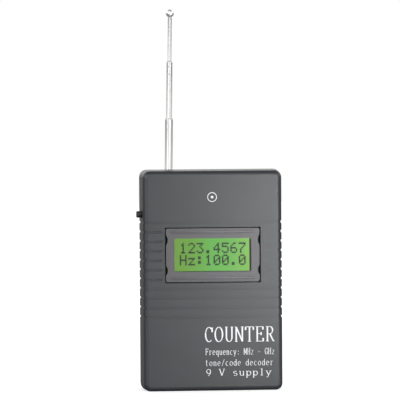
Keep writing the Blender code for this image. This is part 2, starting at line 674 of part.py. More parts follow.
def make_rear_shell(materials):
    """The rear shell: back, side walls, bosses, the battery bay and the door's opening."""
    shell = loft_object("rear_shell", rear_outer_rings(), materials["case"], 32)
    combine(shell, loft_object("rear_cavity", [cavity_ring(PARTING_Y - PAST),
                                               cavity_ring(BACK_INNER_Y)]), "DIFFERENCE")
    along_y = (0, 1, 0)
    root_y = BACK_INNER_Y + SINK
    start_y = MEET_Y + FIT
    combine(shell, cylinders_object("rear_case_bosses", at_depth(case_screw_places(), start_y),
                                    BOSS_RADIUS, root_y - start_y, along_y), "UNION")
    combine(shell, boxes_object("rear_bay_roof", [bay_roof_box(start_y, root_y)]), "UNION")
    rib_low_z = WALL - SINK
    rib_high_z = BAY_TOP_Z + SINK
    left_x = BATTERY_LEFT_X - BAY_SIDE_GAP
    right_x = SNAP_RIGHT_X + FIT
    ribs = [((left_x - BAY_WALL, start_y, rib_low_z), (left_x, root_y, rib_high_z)),
            ((right_x, start_y, rib_low_z), (right_x + BAY_WALL, root_y, rib_high_z))]
    combine(shell, boxes_object("bay_ribs", ribs), "UNION")
    combine(shell, lead_slot("rear_lead_slot"), "DIFFERENCE")

    rebate = [case_ring(TONGUE_INSET - FIT, PARTING_Y - PAST, 0.0),
              case_ring(TONGUE_INSET - FIT, MEET_Y + FIT, 0.0)]
    combine(shell, loft_object("tongue_rebate", rebate), "DIFFERENCE")

    opening_half = DOOR_WIDTH / 2 + FIT
    combine(shell, box_object("door_opening",
                              (-opening_half, DOOR_TONGUE_Y - DOOR_TRAVEL_CLEARANCE, -PAST),
                              (opening_half, BACK_Y + PAST, DOOR_TOP_Z + FIT)), "DIFFERENCE")
    channel_half = opening_half + DOOR_TONGUE
    combine(shell, box_object("door_channel",
                              (-channel_half, DOOR_TONGUE_Y - DOOR_TRAVEL_CLEARANCE, -PAST),
                              (channel_half, BACK_Y - DOOR_SKIN, DOOR_TOP_Z + FIT)), "DIFFERENCE")

    hole_y = start_y - PAST
    combine(shell, cylinders_object("rear_screw_holes", at_depth(case_screw_places(), hole_y),
                                    SCREW_RADIUS + FIT, BACK_Y + PAST - hole_y, along_y, 14),
            "DIFFERENCE")
    recess_y = BACK_Y - SCREW_RECESS
    combine(shell, cylinders_object("screw_recesses", at_depth(case_screw_places(), recess_y),
                                    SCREW_HEAD_RADIUS + FIT, SCREW_RECESS + PAST, along_y, 20),
            "DIFFERENCE")
    combine(shell, rear_grooves(), "DIFFERENCE")
    combine(shell, antenna_hole("rear_antenna_hole"), "DIFFERENCE")
    return shell


def make_battery_door(materials):
    """The sliding door: a panel of the rear shell's own skin, with a tongue down each side."""
    door = loft_object("battery_door", rear_outer_rings(), materials["case"], 32)
    half = DOOR_WIDTH / 2
    combine(door, box_object("door_panel", (-half, DOOR_TONGUE_Y, FIT),
                             (half, BACK_Y + PAST, DOOR_TOP_Z)), "INTERSECT")
    tongues = []
    for side in (-1, 1):
        inner_x = side * (half - SINK)
        outer_x = side * (half + DOOR_TONGUE)
        tongues.append(((min(inner_x, outer_x), DOOR_TONGUE_Y, BACK_FILLET),
                        (max(inner_x, outer_x), DOOR_TONGUE_Y + DOOR_TONGUE_THICKNESS,
                         DOOR_TOP_Z)))
    combine(door, boxes_object("door_tongues", tongues), "UNION")

    floor_y = BACK_Y - GRIP_DEPTH
    grip_base_z = DOOR_TOP_Z / 2
    grips = []
    for index in range(GRIP_COUNT):
        low_z = grip_base_z + index * GRIP_PITCH
        grips.append(((-GRIP_LENGTH / 2, floor_y, low_z),
                      (GRIP_LENGTH / 2, BACK_Y + PAST, low_z + GRIP_WIDTH)))
    combine(door, boxes_object("door_grips", grips), "DIFFERENCE")
    tip_z = grip_base_z - GRIP_PITCH - ARROW_HEIGHT
    arrow = bmesh.new()
    outline_prism(arrow, [(0.0, tip_z), (ARROW_HEIGHT, tip_z + ARROW_HEIGHT),
                          (-ARROW_HEIGHT, tip_z + ARROW_HEIGHT)], floor_y, BACK_Y + PAST)
    combine(door, add_object("door_arrow", arrow), "DIFFERENCE")
    return door


# ---------------------------------------------------------------- screws

def make_screw(name, head_radius, head_height, shank_radius, length, material):
    """A pan-head screw along its own +Z: its head's seat at the origin, its shank below."""
    crown = head_height / 2
    profile = [(0.0, -length), (shank_radius / 2, -length), (shank_radius, shank_radius - length),
               (shank_radius, 0.0), (head_radius, 0.0), (head_radius, crown),
               (head_radius * 0.8, head_height), (0.0, head_height)]
    screw = turned_object(name, profile, material, segments=14)
    depth_z = head_height - CROSS_WIDTH
    cross = bmesh.new()
    reach = head_radius * 0.55
    half = CROSS_WIDTH / 2
    outline = [(half, half), (half, reach), (-half, reach), (-half, half), (-reach, half),
               (-reach, -half), (-half, -half), (-half, -reach), (half, -reach), (half, -half),
               (reach, -half), (reach, half)]
    add_loft(cross, [[(x, y, z) for x, y in outline] for z in (depth_z, head_height + PAST)])
    cutter = add_object(f"{name}_cross", cross)
    cutter.parent = screw
    combine(screw, cutter, "DIFFERENCE")
    return screw


def place_screws(stem, places, seat_y, sizes, material):
    """Screws driven from behind, heads towards +Y, at each place."""
    for number, (x, z) in enumerate(places, start=1):
        screw = make_screw(f"{stem}_{number}", *sizes, material)
        screw.location = (x, seat_y, z)
        screw.rotation_euler = (-math.pi / 2, 0.0, 0.0)


# ---------------------------------------------------------------- display module

def bezel_outline():
    """Points (x, z) round the bezel, with two shallow wavy notches in each short side."""
    half_w = BEZEL_WIDTH / 2
    half_h = BEZEL_HEIGHT / 2
    right = [(half_w - BEZEL_CORNER, -half_h), (half_w, BEZEL_CORNER - half_h)]
    for centre in (-BEZEL_NOTCH_OFFSET, BEZEL_NOTCH_OFFSET):
        for step in range(BEZEL_NOTCH_STEPS + 1):
            share = step / BEZEL_NOTCH_STEPS
            dip = BEZEL_NOTCH_DEPTH * math.sin(math.pi * share) ** 0.7
            right.append((half_w - dip, centre + (share - 0.5) * BEZEL_NOTCH_LENGTH))
    right.extend([(half_w, half_h - BEZEL_CORNER), (half_w - BEZEL_CORNER, half_h)])
    left = [(-x, z) for x, z in reversed(right)]
    return [(WINDOW_X + x, WINDOW_Z + z) for x, z in right + left]


def bead_outline(offset_z):
    """Points (x, z) of a raised bead with round ends."""
    return rounded_outline(BEAD_LENGTH, BEAD_WIDTH, BEAD_WIDTH / 2 - BEZEL_SHEET / 20,
                           WINDOW_X, WINDOW_Z + offset_z, 4)


def make_bezel(materials):
    """The pressed steel frame: face, skirt, view opening and two raised beads."""
    builder = bmesh.new()
    outline_prism(builder, bezel_outline(), BEZEL_Y, LCD_BOARD_Y - FIT)
    bezel = add_object("lcd_bezel", builder, materials["bezel"])

    hollow = bmesh.new()
    inner_width = BEZEL_WIDTH - 2 * (BEZEL_SHEET + BEZEL_NOTCH_DEPTH)
    inner_height = BEZEL_HEIGHT - 2 * BEZEL_SHEET
    outline_prism(hollow, rounded_outline(inner_width, inner_height, BEZEL_CORNER,
                                          WINDOW_X, WINDOW_Z, 1),
                  BEZEL_Y + BEZEL_SHEET, LCD_BOARD_Y + PAST)
    combine(bezel, add_object("bezel_hollow", hollow), "DIFFERENCE")

    view = bmesh.new()
    outline_prism(view, rounded_outline(VIEW_WIDTH, VIEW_HEIGHT, VIEW_CORNER,
                                        WINDOW_X, WINDOW_Z, 3),
                  BEZEL_Y - PAST, BEZEL_Y + BEZEL_SHEET + PAST)
    combine(bezel, add_object("view_opening", view), "DIFFERENCE")

    beads = bmesh.new()
    for offset in (-BEAD_OFFSET, BEAD_OFFSET):
        outline_prism(beads, bead_outline(offset), BEZEL_Y - BEAD_HEIGHT,
                      BEZEL_Y + BEZEL_SHEET / 2)
    combine(bezel, add_object("bezel_beads", beads), "UNION")
    return bezel


def centred_box(name, centre_x, centre_z, size_x, size_z, low_y, high_y, material, edge=0.0):
    """A box given by its centre and size in the front view and its two depths."""
    return box_object(name, (centre_x - size_x / 2, low_y, centre_z - size_z / 2),
                      (centre_x + size_x / 2, high_y, centre_z + size_z / 2), material, edge)


def make_display(materials):
    """Glass, light guide, contact strips, board, controller and pin header."""
    glass_width = VIEW_WIDTH + 2 * GLASS_MARGIN
    glass_height = VIEW_HEIGHT + 2 * GLASS_MARGIN
    centred_box("lcd_glass", WINDOW_X, WINDOW_Z, glass_width, glass_height, GLASS_Y,
                GLASS_Y + GLASS_THICKNESS, materials["glass"])
    light_height = glass_height - 2 * GLASS_LEDGE
    centred_box("lcd_backlight", WINDOW_X, WINDOW_Z, glass_width, light_height, BACKLIGHT_Y,
                BACKLIGHT_Y + BACKLIGHT_THICKNESS, materials["backlight"])
    strip_offset = light_height / 2 + FIT + STRIP_WIDTH / 2
    for name, side in (("zebra_strip_upper", 1), ("zebra_strip_lower", -1)):
        centred_box(name, WINDOW_X, WINDOW_Z + side * strip_offset, glass_width, STRIP_WIDTH,
                    BACKLIGHT_Y, BACKLIGHT_Y + BACKLIGHT_THICKNESS, materials["strip"])

    board = centred_box("lcd_board", WINDOW_X, WINDOW_Z, LCD_BOARD_WIDTH, LCD_BOARD_HEIGHT,
                        LCD_BOARD_Y, LCD_BOARD_BACK_Y, materials["board"])
    combine(board, cylinders_object("display_board_holes",
                                    at_depth(lcd_screw_places(), LCD_BOARD_Y - PAST),
                                    LCD_SCREW_RADIUS + FIT, BOARD_THICKNESS + 2 * PAST,
                                    (0, 1, 0), 12), "DIFFERENCE")

    space = BOARD_Y - FIT - (LCD_BOARD_BACK_Y + FIT)
    dome = scaled_profile(CONTROLLER_PROFILE, CONTROLLER_RADIUS, space)
    controller = turned_object("lcd_controller", dome, materials["chip"], smooth_angle=60)
    controller.location = (WINDOW_X, LCD_BOARD_BACK_Y + FIT, WINDOW_Z)
    controller.rotation_euler = (-math.pi / 2, 0.0, 0.0)
    header_z = WINDOW_Z + LCD_BOARD_HEIGHT / 2 - HEADER_HEIGHT
    centred_box("lcd_pin_header", WINDOW_X, header_z, HEADER_WIDTH, HEADER_HEIGHT,
                LCD_BOARD_BACK_Y + FIT, BOARD_Y - FIT, materials["chip"])


# ---------------------------------------------------------------- main board

def make_main_board(materials):
    """The main board with a hole for each of its screws."""
    board = box_object("main_board", (-BOARD_HALF_WIDTH, BOARD_Y, BOARD_BOTTOM_Z),
                       (BOARD_HALF_WIDTH, BOARD_BACK_Y, BOARD_TOP_Z), materials["board"])
    combine(board, cylinders_object("main_board_holes",
                                    at_depth(board_screw_places(), BOARD_Y - PAST),
                                    BOARD_SCREW_RADIUS + FIT, BOARD_THICKNESS + 2 * PAST,
                                    (0, 1, 0), 14), "DIFFERENCE")
    return board


def up_board(share):
    """Height of a place on the main board, given as a share of the board's height."""
    return BOARD_BOTTOM_Z + share * (BOARD_TOP_Z - BOARD_BOTTOM_Z)


def scaled_profile(profile, radius, height):
    """A turned outline from shares of a radius and a height."""
    return [(across * radius, up * height) for across, up in profile]


def make_chip(name, place, material, edge=CHIP_EDGE):
    """A block-shaped part on the board's back."""
    centre_x, share, size_x, size_z, height = place
    return centred_box(name, centre_x, up_board(share), size_x, size_z, PARTS_Y,
                       PARTS_Y + height, material, edge)


def make_capacitor(name, place, material):
    """An electrolytic capacitor standing on the board's back, with a rolled waist."""
    centre_x, share, radius, height = place
    profile = scaled_profile(CAPACITOR_PROFILE, radius, height)
    capacitor = turned_object(name, profile, material, segments=20)
    capacitor.location = (centre_x, PARTS_Y, up_board(share))
    capacitor.rotation_euler = (-math.pi / 2, 0.0, 0.0)
    return capacitor


def make_regulator(materials):
    """The small voltage regulator: a half-round body with a flat side."""
    centre_x, share, radius, height = REGULATOR
    centre_z = up_board(share)
    outline = []
    steps = 12
    start = math.radians(-40)
    sweep = math.radians(260)
    for step in range(steps + 1):
        angle = start + sweep * step / steps
        outline.append((centre_x + radius * math.cos(angle), centre_z + radius * math.sin(angle)))
    builder = bmesh.new()
    outline_prism(builder, outline, PARTS_Y, PARTS_Y + height)
    return add_object("voltage_regulator", builder, materials["chip"], 35)


def make_crystal(materials):
    """The crystal's can: an oval body on a thin flange."""
    centre_x, share, size_x, size_z, height = CRYSTAL
    rings = []
    for inset, low, high in ((0.0, 0.0, CRYSTAL_FLANGE), (CRYSTAL_FLANGE, CRYSTAL_FLANGE, height)):
        outline = rounded_outline(size_x - inset, size_z - inset, (size_z - inset) / 2 - FIT / 3,
                                  centre_x, up_board(share), 6)
        rings += [[(x, PARTS_Y + rise, z) for x, z in outline] for rise in (low, high)]
    builder = bmesh.new()
    add_loft(builder, rings)
    return add_object("crystal", builder, materials["can"], 35)


def make_trimmer(materials):
    """The contrast trimmer: a square body with a slotted round hollow in its top."""
    trimmer = make_chip("contrast_trimmer", TRIMMER, materials["trimmer"])
    centre_x, share, size_x, _size_z, height = TRIMMER
    centre_z = up_board(share)
    top_y = PARTS_Y + height
    combine(trimmer, cylinders_object("trimmer_well", [(centre_x, top_y - CROSS_WIDTH, centre_z)],
                                      size_x * 0.35, CROSS_WIDTH + PAST, (0, 1, 0)), "DIFFERENCE")
    half = CROSS_WIDTH / 2
    combine(trimmer, box_object("trimmer_slot",
                                (centre_x - size_x / 4, top_y - 2 * CROSS_WIDTH, centre_z - half),
                                (centre_x + size_x / 4, top_y + PAST, centre_z + half)),
            "DIFFERENCE")
    return trimmer


# ---------------------------------------------------------------- side button

def make_button(materials):
    """The push button's stem and the switch body that it presses into."""
    body_x, body_y, body_z = SWITCH_BODY_SIZE
    body = box_object("switch_body", (SWITCH_X, BUTTON_Y - body_y / 2, BUTTON_Z - body_z / 2),
                      (SWITCH_X + body_x, BUTTON_Y + body_y / 2, BUTTON_Z + body_z / 2),
                      materials["button"], CHIP_EDGE)
    well_depth = BUTTON_SINK + BUTTON_STROKE + FIT
    combine(body, cylinders_object("switch_well", [(SWITCH_X - PAST, BUTTON_Y, BUTTON_Z)],
                                   BUTTON_RADIUS + BUTTON_CLEARANCE, well_depth + PAST,
                                   (1, 0, 0), 24), "DIFFERENCE")

    outer_x = -CASE_WIDTH / 2 - BUTTON_REACH
    length = SWITCH_X + BUTTON_SINK - outer_x
    profile = [(0.0, 0.0), (BUTTON_RADIUS - BUTTON_CHAMFER, 0.0), (BUTTON_RADIUS, BUTTON_CHAMFER),
               (BUTTON_RADIUS, length), (0.0, length)]
    stem = turned_object("side_button", profile, materials["button"], segments=24)
    stem.location = (outer_x, BUTTON_Y, BUTTON_Z)
    stem.rotation_euler = (0.0, math.pi / 2, 0.0)
    return stem


# ---------------------------------------------------------------- antenna

def tube_profile(outer, low, high, foot_outer, sliding):
    """Closed (radius, height) profile of one telescopic tube.

    Its foot is flared to foot_outer, and its neck is rolled in to guide a rod of radius sliding.
    """
    inner = outer - TUBE_WALL
    neck_inner = sliding + NECK_GAP
    neck_outer = neck_inner + TUBE_WALL
    return [(foot_outer, low), (foot_outer, low + FOOT_LENGTH),
            (outer, low + FOOT_LENGTH + TUBE_GAP), (outer, high - NECK_LENGTH),
            (neck_outer, high), (neck_inner, high), (neck_inner, high - NECK_LENGTH / 2),
            (inner, high - 2 * NECK_LENGTH), (inner, low)]


def make_antenna(materials):
    """The telescopic antenna, its base tube and the brackets that hold it to the board.

    Every piece hangs on one empty on the antenna's axis at the case's top, which leans it.
    """
    axis = bpy.data.objects.new("antenna_axis", None)
    bpy.context.scene.collection.objects.link(axis)
    axis.location = (ANTENNA_X, ANTENNA_Y, CASE_HEIGHT)
    axis.rotation_euler = (0.0, ANTENNA_LEAN, 0.0)
    chrome = materials["chrome"]

    def on_axis(piece):
        piece.parent = axis
        return piece

    base_top = -BASE_TUBE_DROP - DRAFT
    base_low = base_top - BASE_TUBE_LENGTH
    on_axis(turned_object("antenna_base_tube",
                          tube_profile(BASE_TUBE_RADIUS, base_low, base_top, BASE_TUBE_RADIUS,
                                       LOWER_RADIUS),
                          chrome, True, TUBE_SEGMENTS))
    lower_top = LOWER_EXPOSED
    on_axis(turned_object("antenna_lower_section",
                          tube_profile(LOWER_RADIUS, -TUBE_OVERLAP, lower_top,
                                       LOWER_RADIUS + TUBE_GAP - NECK_GAP, MIDDLE_RADIUS),
                          chrome, True, TUBE_SEGMENTS))
    middle_top = lower_top + MIDDLE_EXPOSED
    on_axis(turned_object("antenna_middle_section",
                          tube_profile(MIDDLE_RADIUS, lower_top - TUBE_OVERLAP, middle_top,
                                       MIDDLE_RADIUS + TUBE_GAP - NECK_GAP, TIP_RADIUS),
                          chrome, True, TUBE_SEGMENTS))
    rod_low = middle_top - TUBE_OVERLAP
    ball_base = middle_top + TIP_EXPOSED
    ball_centre = ball_base + math.sqrt(BALL_RADIUS ** 2 - TIP_RADIUS ** 2)
    foot = TIP_RADIUS + TUBE_GAP - NECK_GAP
    on_axis(turned_object("antenna_tip_rod",
                          [(0.0, rod_low), (foot, rod_low), (foot, rod_low + FOOT_LENGTH),
                           (TIP_RADIUS, rod_low + FOOT_LENGTH + TUBE_GAP),
                           (TIP_RADIUS, ball_base - FIT), (SPIGOT_RADIUS, ball_base - FIT),
                           (SPIGOT_RADIUS, ball_centre), (0.0, ball_centre)],
                          chrome, False, TUBE_SEGMENTS))
    bore = SPIGOT_RADIUS + FIT
    start = math.asin(TIP_RADIUS / BALL_RADIUS)
    profile = [(0.0, ball_centre + FIT), (bore, ball_centre + FIT), (bore, ball_base)]
    steps = 10
    for step in range(steps):
        angle = start + (math.pi - start) * step / steps
        profile.append((BALL_RADIUS * math.sin(angle), ball_centre - BALL_RADIUS * math.cos(angle)))
    profile.append((0.0, ball_centre + BALL_RADIUS))
    on_axis(turned_object("antenna_tip_ball", profile, chrome, False, 20, 50))

    bracket_low_y = PARTS_Y - ANTENNA_Y
    bracket_high_y = BASE_TUBE_RADIUS + FIT + BRACKET_ROOF
    for name, height in zip(("antenna_bracket_lower", "antenna_bracket_upper"), BRACKET_HEIGHTS):
        low_z = base_low + height
        bracket = on_axis(box_object(name, (-BRACKET_WIDTH / 2, bracket_low_y, low_z),
                                     (BRACKET_WIDTH / 2, bracket_high_y, low_z + BRACKET_HEIGHT),
                                     materials["brass"], CHIP_EDGE))
        bore_cutter = on_axis(cylinders_object(f"{name}_bore", [(0.0, 0.0, low_z - PAST)],
                                               BASE_TUBE_RADIUS + FIT, BRACKET_HEIGHT + 2 * PAST,
                                               (0, 0, 1), TUBE_SEGMENTS))
        combine(bracket, bore_cutter, "DIFFERENCE")


# ---------------------------------------------------------------- battery and leads

def make_battery(materials):
    """The 9 V block battery with its two terminals, lying across the bay."""
    half_thick = BATTERY_THICKNESS / 2
    half_width = BATTERY_WIDTH / 2
    box_object("battery", (BATTERY_LEFT_X, BATTERY_Y - half_thick, BATTERY_Z - half_width),
               (BATTERY_RIGHT_X, BATTERY_Y + half_thick, BATTERY_Z + half_width),
               materials["battery"], BATTERY_EDGE)
    for name, radius, side in (("battery_positive_terminal", POSITIVE_RADIUS, 1),
                               ("battery_negative_terminal", NEGATIVE_RADIUS, -1)):
        top = TERMINAL_HEIGHT
        profile = scaled_profile(TERMINAL_PROFILE, radius, top)
        terminal = turned_object(name, profile, materials["terminal"], segments=18)
        terminal.location = (BATTERY_RIGHT_X + FIT, BATTERY_Y,
                             BATTERY_Z + side * TERMINAL_SPACING / 2)
        terminal.rotation_euler = (0.0, math.pi / 2, 0.0)


def make_snap(materials):
    """The snap connector, with a well over each battery terminal."""
    snap = box_object("battery_snap",
                      (SNAP_LEFT_X, BATTERY_Y - SNAP_WIDTH / 2, BATTERY_Z - SNAP_LENGTH / 2),
                      (SNAP_RIGHT_X, BATTERY_Y + SNAP_WIDTH / 2, BATTERY_Z + SNAP_LENGTH / 2),
                      materials["snap"], 2 * CHIP_EDGE)
    for name, radius, side in (("positive_well", POSITIVE_RADIUS, 1),
                               ("negative_well", NEGATIVE_RADIUS, -1)):
        centre = (SNAP_LEFT_X - PAST, BATTERY_Y, BATTERY_Z + side * TERMINAL_SPACING / 2)
        combine(snap, cylinders_object(name, [centre], radius + FIT,
                                       TERMINAL_HEIGHT + FIT + PAST, (1, 0, 0), 18), "DIFFERENCE")
    return snap


def make_leads(materials):
    """Two insulated wires from the snap's upper end, through the notch, to the main board."""
    snap_top_z = BATTERY_Z + SNAP_LENGTH / 2
    start_x = (SNAP_LEFT_X + SNAP_RIGHT_X) / 2 - LEAD_SPACING / 4
    end_y = PARTS_Y + LEAD_RADIUS
    for name, side in (("battery_lead_red", 1), ("battery_lead_black", -1)):
        shift = side * LEAD_SPACING / 2
        route = [Vector((start_x, BATTERY_Y + shift, snap_top_z + FIT)),
                 Vector((start_x, BATTERY_Y + shift, snap_top_z + LEAD_RISE)),
                 Vector((start_x - LEAD_JOG + shift / 2, end_y + LEAD_JOG + shift / 2,
                         BAY_TOP_Z + BAY_WALL / 2)),
                 Vector((SNAP_LEFT_X + shift, end_y + LEAD_JOG, BOARD_BOTTOM_Z + LEAD_JOG)),
                 Vector((SNAP_LEFT_X - LEAD_JOG + shift, end_y, BOARD_BOTTOM_Z + LEAD_TAIL))]
        add_wire(name, route, materials["red" if side > 0 else "black"])


def add_wire(name, route, material):
    """A round wire along a smooth curve through the route's points."""
    points = smooth_points(route, 4)
    curve = bpy.data.curves.new(name, "CURVE")
    curve.dimensions = "3D"
    curve.bevel_depth = LEAD_RADIUS
    curve.bevel_resolution = 2
    curve.use_fill_caps = True
    spline = curve.splines.new("POLY")
    spline.points.add(len(points) - 1)
    for target, point in zip(spline.points, points):
        target.co = (*point, 1.0)
    curve.materials.append(material)
    wire = bpy.data.objects.new(name, curve)
    bpy.context.scene.collection.objects.link(wire)


def smooth_points(route, steps):
    """Points on a Catmull-Rom curve through the route."""
    padded = [route[0], *route, route[-1]]
    points = []
    for before, start, end, after in zip(padded, padded[1:], padded[2:], padded[3:]):
        for step in range(steps):
            t = step / steps
            points.append(0.5 * (2 * start + (end - before) * t
                                 + (2 * before - 5 * start + 4 * end - after) * t ** 2
                                 + (3 * start - before - 3 * end + after) * t ** 3))
    points.append(route[-1])
    return points


# ---------------------------------------------------------------- assembly

def main():
    """Builds every piece of the counter."""
    clear_scene()
    materials = make_materials()
    make_front_shell(materials)
    make_rear_shell(materials)
    make_battery_door(materials)
    screw_sizes = (SCREW_HEAD_RADIUS, SCREW_HEAD, SCREW_RADIUS, SCREW_LENGTH)
    place_screws("case_screw", case_screw_places(), SCREW_SEAT_Y, screw_sizes,
                 materials["screw"])
    board_screw_sizes = (BOARD_SCREW_HEAD_RADIUS, BOARD_SCREW_HEAD, BOARD_SCREW_RADIUS,
                         BOARD_SCREW_LENGTH)
    place_screws("board_screw", board_screw_places(), BOARD_BACK_Y + FIT, board_screw_sizes,
                 materials["screw"])
    lcd_screw_sizes = (LCD_SCREW_HEAD_RADIUS, LCD_SCREW_HEAD - FIT, LCD_SCREW_RADIUS,
                       LCD_SCREW_LENGTH)
    place_screws("lcd_screw", lcd_screw_places(), LCD_BOARD_BACK_Y + FIT, lcd_screw_sizes,
                 materials["screw"])
    make_bezel(materials)
    make_display(materials)
    make_main_board(materials)
    make_chip("microcontroller", MICROCONTROLLER, materials["chip"])
    make_chip("prescaler_chip", PRESCALER, materials["chip"])
    make_chip("amplifier_chip", AMPLIFIER, materials["chip"])
    make_capacitor("input_capacitor", INPUT_CAPACITOR, materials["sleeve"])
    make_capacitor("output_capacitor", OUTPUT_CAPACITOR, materials["sleeve"])
    make_regulator(materials)
    make_crystal(materials)
    make_trimmer(materials)
    make_button(materials)
    make_antenna(materials)
    make_battery(materials)
    make_snap(materials)
    make_leads(materials)


main()
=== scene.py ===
"""Looks of the hand-held frequency counter: finer meshes, materials, print, light and camera."""

import json
import math

import bmesh
import bpy
from mathutils import Matrix, Vector

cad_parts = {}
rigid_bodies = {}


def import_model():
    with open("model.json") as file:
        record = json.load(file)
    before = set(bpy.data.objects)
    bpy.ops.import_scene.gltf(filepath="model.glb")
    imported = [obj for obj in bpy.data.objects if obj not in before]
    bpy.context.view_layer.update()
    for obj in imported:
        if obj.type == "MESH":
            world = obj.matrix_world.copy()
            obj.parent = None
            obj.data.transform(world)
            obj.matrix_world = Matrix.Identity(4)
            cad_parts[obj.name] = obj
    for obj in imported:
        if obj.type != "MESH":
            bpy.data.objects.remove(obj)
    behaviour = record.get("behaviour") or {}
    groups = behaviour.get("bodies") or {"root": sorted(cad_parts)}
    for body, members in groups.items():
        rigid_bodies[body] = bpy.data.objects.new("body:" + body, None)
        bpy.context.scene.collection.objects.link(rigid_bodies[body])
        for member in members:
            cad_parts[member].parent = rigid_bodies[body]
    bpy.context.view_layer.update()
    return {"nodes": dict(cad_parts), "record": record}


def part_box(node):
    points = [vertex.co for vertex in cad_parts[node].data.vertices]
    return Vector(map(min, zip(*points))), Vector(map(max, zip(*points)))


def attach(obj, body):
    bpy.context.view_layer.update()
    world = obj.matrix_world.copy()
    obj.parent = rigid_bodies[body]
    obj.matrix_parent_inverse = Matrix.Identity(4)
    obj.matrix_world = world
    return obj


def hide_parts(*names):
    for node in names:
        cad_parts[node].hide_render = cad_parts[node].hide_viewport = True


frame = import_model()

# ---------------------------------------------------------------- camera and stage values

AIM_OBJECT = Vector((0.0, 0.0, 0.0585))          # middle of the case
CAMERA_DISTANCE = 1.8
CAMERA_YAW = math.radians(6.0)                   # the camera stands this far to the left
CAMERA_ELEVATION = math.radians(2.7)
CAMERA_ROLL = math.radians(0.387)
CAMERA_TARGET = Vector((-0.00536, 0.0, 0.10065))
CAMERA_LENS = 304.6

LIGHT_AIM = Vector((0.0, 0.0, 0.08))
LIGHTS = (
    # name, degrees right of the camera, degrees up, distance, size, power
    ("key", 26.0, -12.0, 0.30, (0.10, 0.36), 0.76),
    ("fill", -36.0, 14.0, 0.90, (0.20, 0.60), 1.6),
)

FLOOR_REFLECTED = 0.25
FLOOR_GLOW = 0.55

# The room's brightness by direction, from the camera's side (0) to straight behind (1).
ROOM_LEVELS = ((0.0, 0.42), (0.15, 0.42), (0.30, 0.05), (0.74, 0.05), (0.86, 0.25), (0.968, 0.30),
               (0.990, 1.0))
# The same by height, from level (0) to overhead (1).
OVERHEAD_LEVELS = ((0.03, 0.0), (0.20, 1.35), (0.50, 1.35), (0.80, 0.30))

# ---------------------------------------------------------------- places read from the frame

FACE_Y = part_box("front_shell")[0].y
GLASS_LOW, GLASS_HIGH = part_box("lcd_glass")
BEZEL_LOW, BEZEL_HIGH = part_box("lcd_bezel")
DISPLAY_X = (BEZEL_LOW.x + BEZEL_HIGH.x) / 2
DISPLAY_Z = (BEZEL_LOW.z + BEZEL_HIGH.z) / 2

BEZEL_FACE_Y = FACE_Y + 0.0005
BEAD_OFFSET = 0.0122
BEAD_LENGTH = 0.0452
BEAD_WIDTH = 0.0021
BEAD_TOP = 0.00042               # half the width of a bead's level top
BEAD_HEIGHT = 0.00040
BEAD_ROOT = 0.0001               # how far a bead is rooted in the bezel
LIT_LEFT = 0.0206                # reach of the lit area from the display's centre: it ends
LIT_RIGHT = 0.0195               # short of the view opening at the right and below
LIT_ABOVE = 0.0090
LIT_BELOW = 0.0085


# ---------------------------------------------------------------- mesh helpers

def link(name, mesh):
    """A new object in the scene with this mesh."""
    made = bpy.data.objects.new(name, mesh)
    bpy.context.scene.collection.objects.link(made)
    return made


def object_from(name, builder, material, smooth_angle=None):
    """Turns a bmesh into an object with one material."""
    bmesh.ops.recalc_face_normals(builder, faces=builder.faces)
    mesh = bpy.data.meshes.new(name)
    builder.to_mesh(mesh)
    builder.free()
    mesh.materials.append(material)
    if smooth_angle:
        mesh.shade_smooth()
        mesh.set_sharp_from_angle(angle=math.radians(smooth_angle))
    return link(name, mesh)


def refine(node, material, edge=0.00010, smooth_angle=30.0, segments=2):
    """A finer copy of a CAD node: whole flat faces, softened edges and smooth round walls."""
    builder = bmesh.new()
    builder.from_mesh(frame["nodes"][node].data)
    bmesh.ops.remove_doubles(builder, verts=builder.verts, dist=2e-6)
    bmesh.ops.dissolve_limit(builder, angle_limit=math.radians(0.3), verts=builder.verts,
                             edges=builder.edges)
    piece = object_from(f"{node}_finished", builder, material, smooth_angle)
    if edge:
        bevel = piece.modifiers.new("soft edges", "BEVEL")
        bevel.width = edge
        bevel.segments = segments
        bevel.limit_method = "ANGLE"
        bevel.angle_limit = math.radians(smooth_angle)
        bevel.use_clamp_overlap = True
        bevel.harden_normals = True
    normals = piece.modifiers.new("flat faces stay flat", "WEIGHTED_NORMAL")
    normals.keep_sharp = True
    normals.weight = 100
    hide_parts(node)
    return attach(piece, body_of(node))


def body_of(node):
    """The CAD body that a node belongs to."""
    bodies = frame["record"]["behaviour"]["bodies"]
    return next(body for body, members in bodies.items() if node in members)


def add_prism(builder, outline, near_y, far_y):
    """Adds a prism of an (x, z) outline between two depths."""
    near = [builder.verts.new((x, near_y, z)) for x, z in outline]
    far = [builder.verts.new((x, far_y, z)) for x, z in outline]
    builder.faces.new(near)
    builder.faces.new(list(reversed(far)))
    for index in range(len(outline)):
        following = (index + 1) % len(outline)
        builder.faces.new((near[index], far[index], far[following], near[following]))


def turned(profile, place, segments=48):
    """A bmesh turned about +Z from (radius, height) points and put in place.

    The profile closes on itself, or starts and ends on the axis.
    """
    builder = bmesh.new()
    rings = []
    for radius, height in profile:
        count = 1 if radius == 0.0 else segments
        rings.append([builder.verts.new((radius * math.cos(math.tau * i / segments),
                                         radius * math.sin(math.tau * i / segments), height))
                      for i in range(count)])
    pairs = list(zip(rings, rings[1:]))
    if profile[0][0] != 0.0:
        pairs.append((rings[-1], rings[0]))
    for near, far in pairs:
        for i in range(segments):
            j = (i + 1) % segments
            if len(near) == 1:
                builder.faces.new((near[0], far[j], far[i]))
            elif len(far) == 1:
                builder.faces.new((near[i], near[j], far[0]))
            else:
                builder.faces.new((near[i], near[j], far[j], far[i]))
    bmesh.ops.transform(builder, matrix=place, verts=builder.verts)
    return builder


# ---------------------------------------------------------------- material helpers

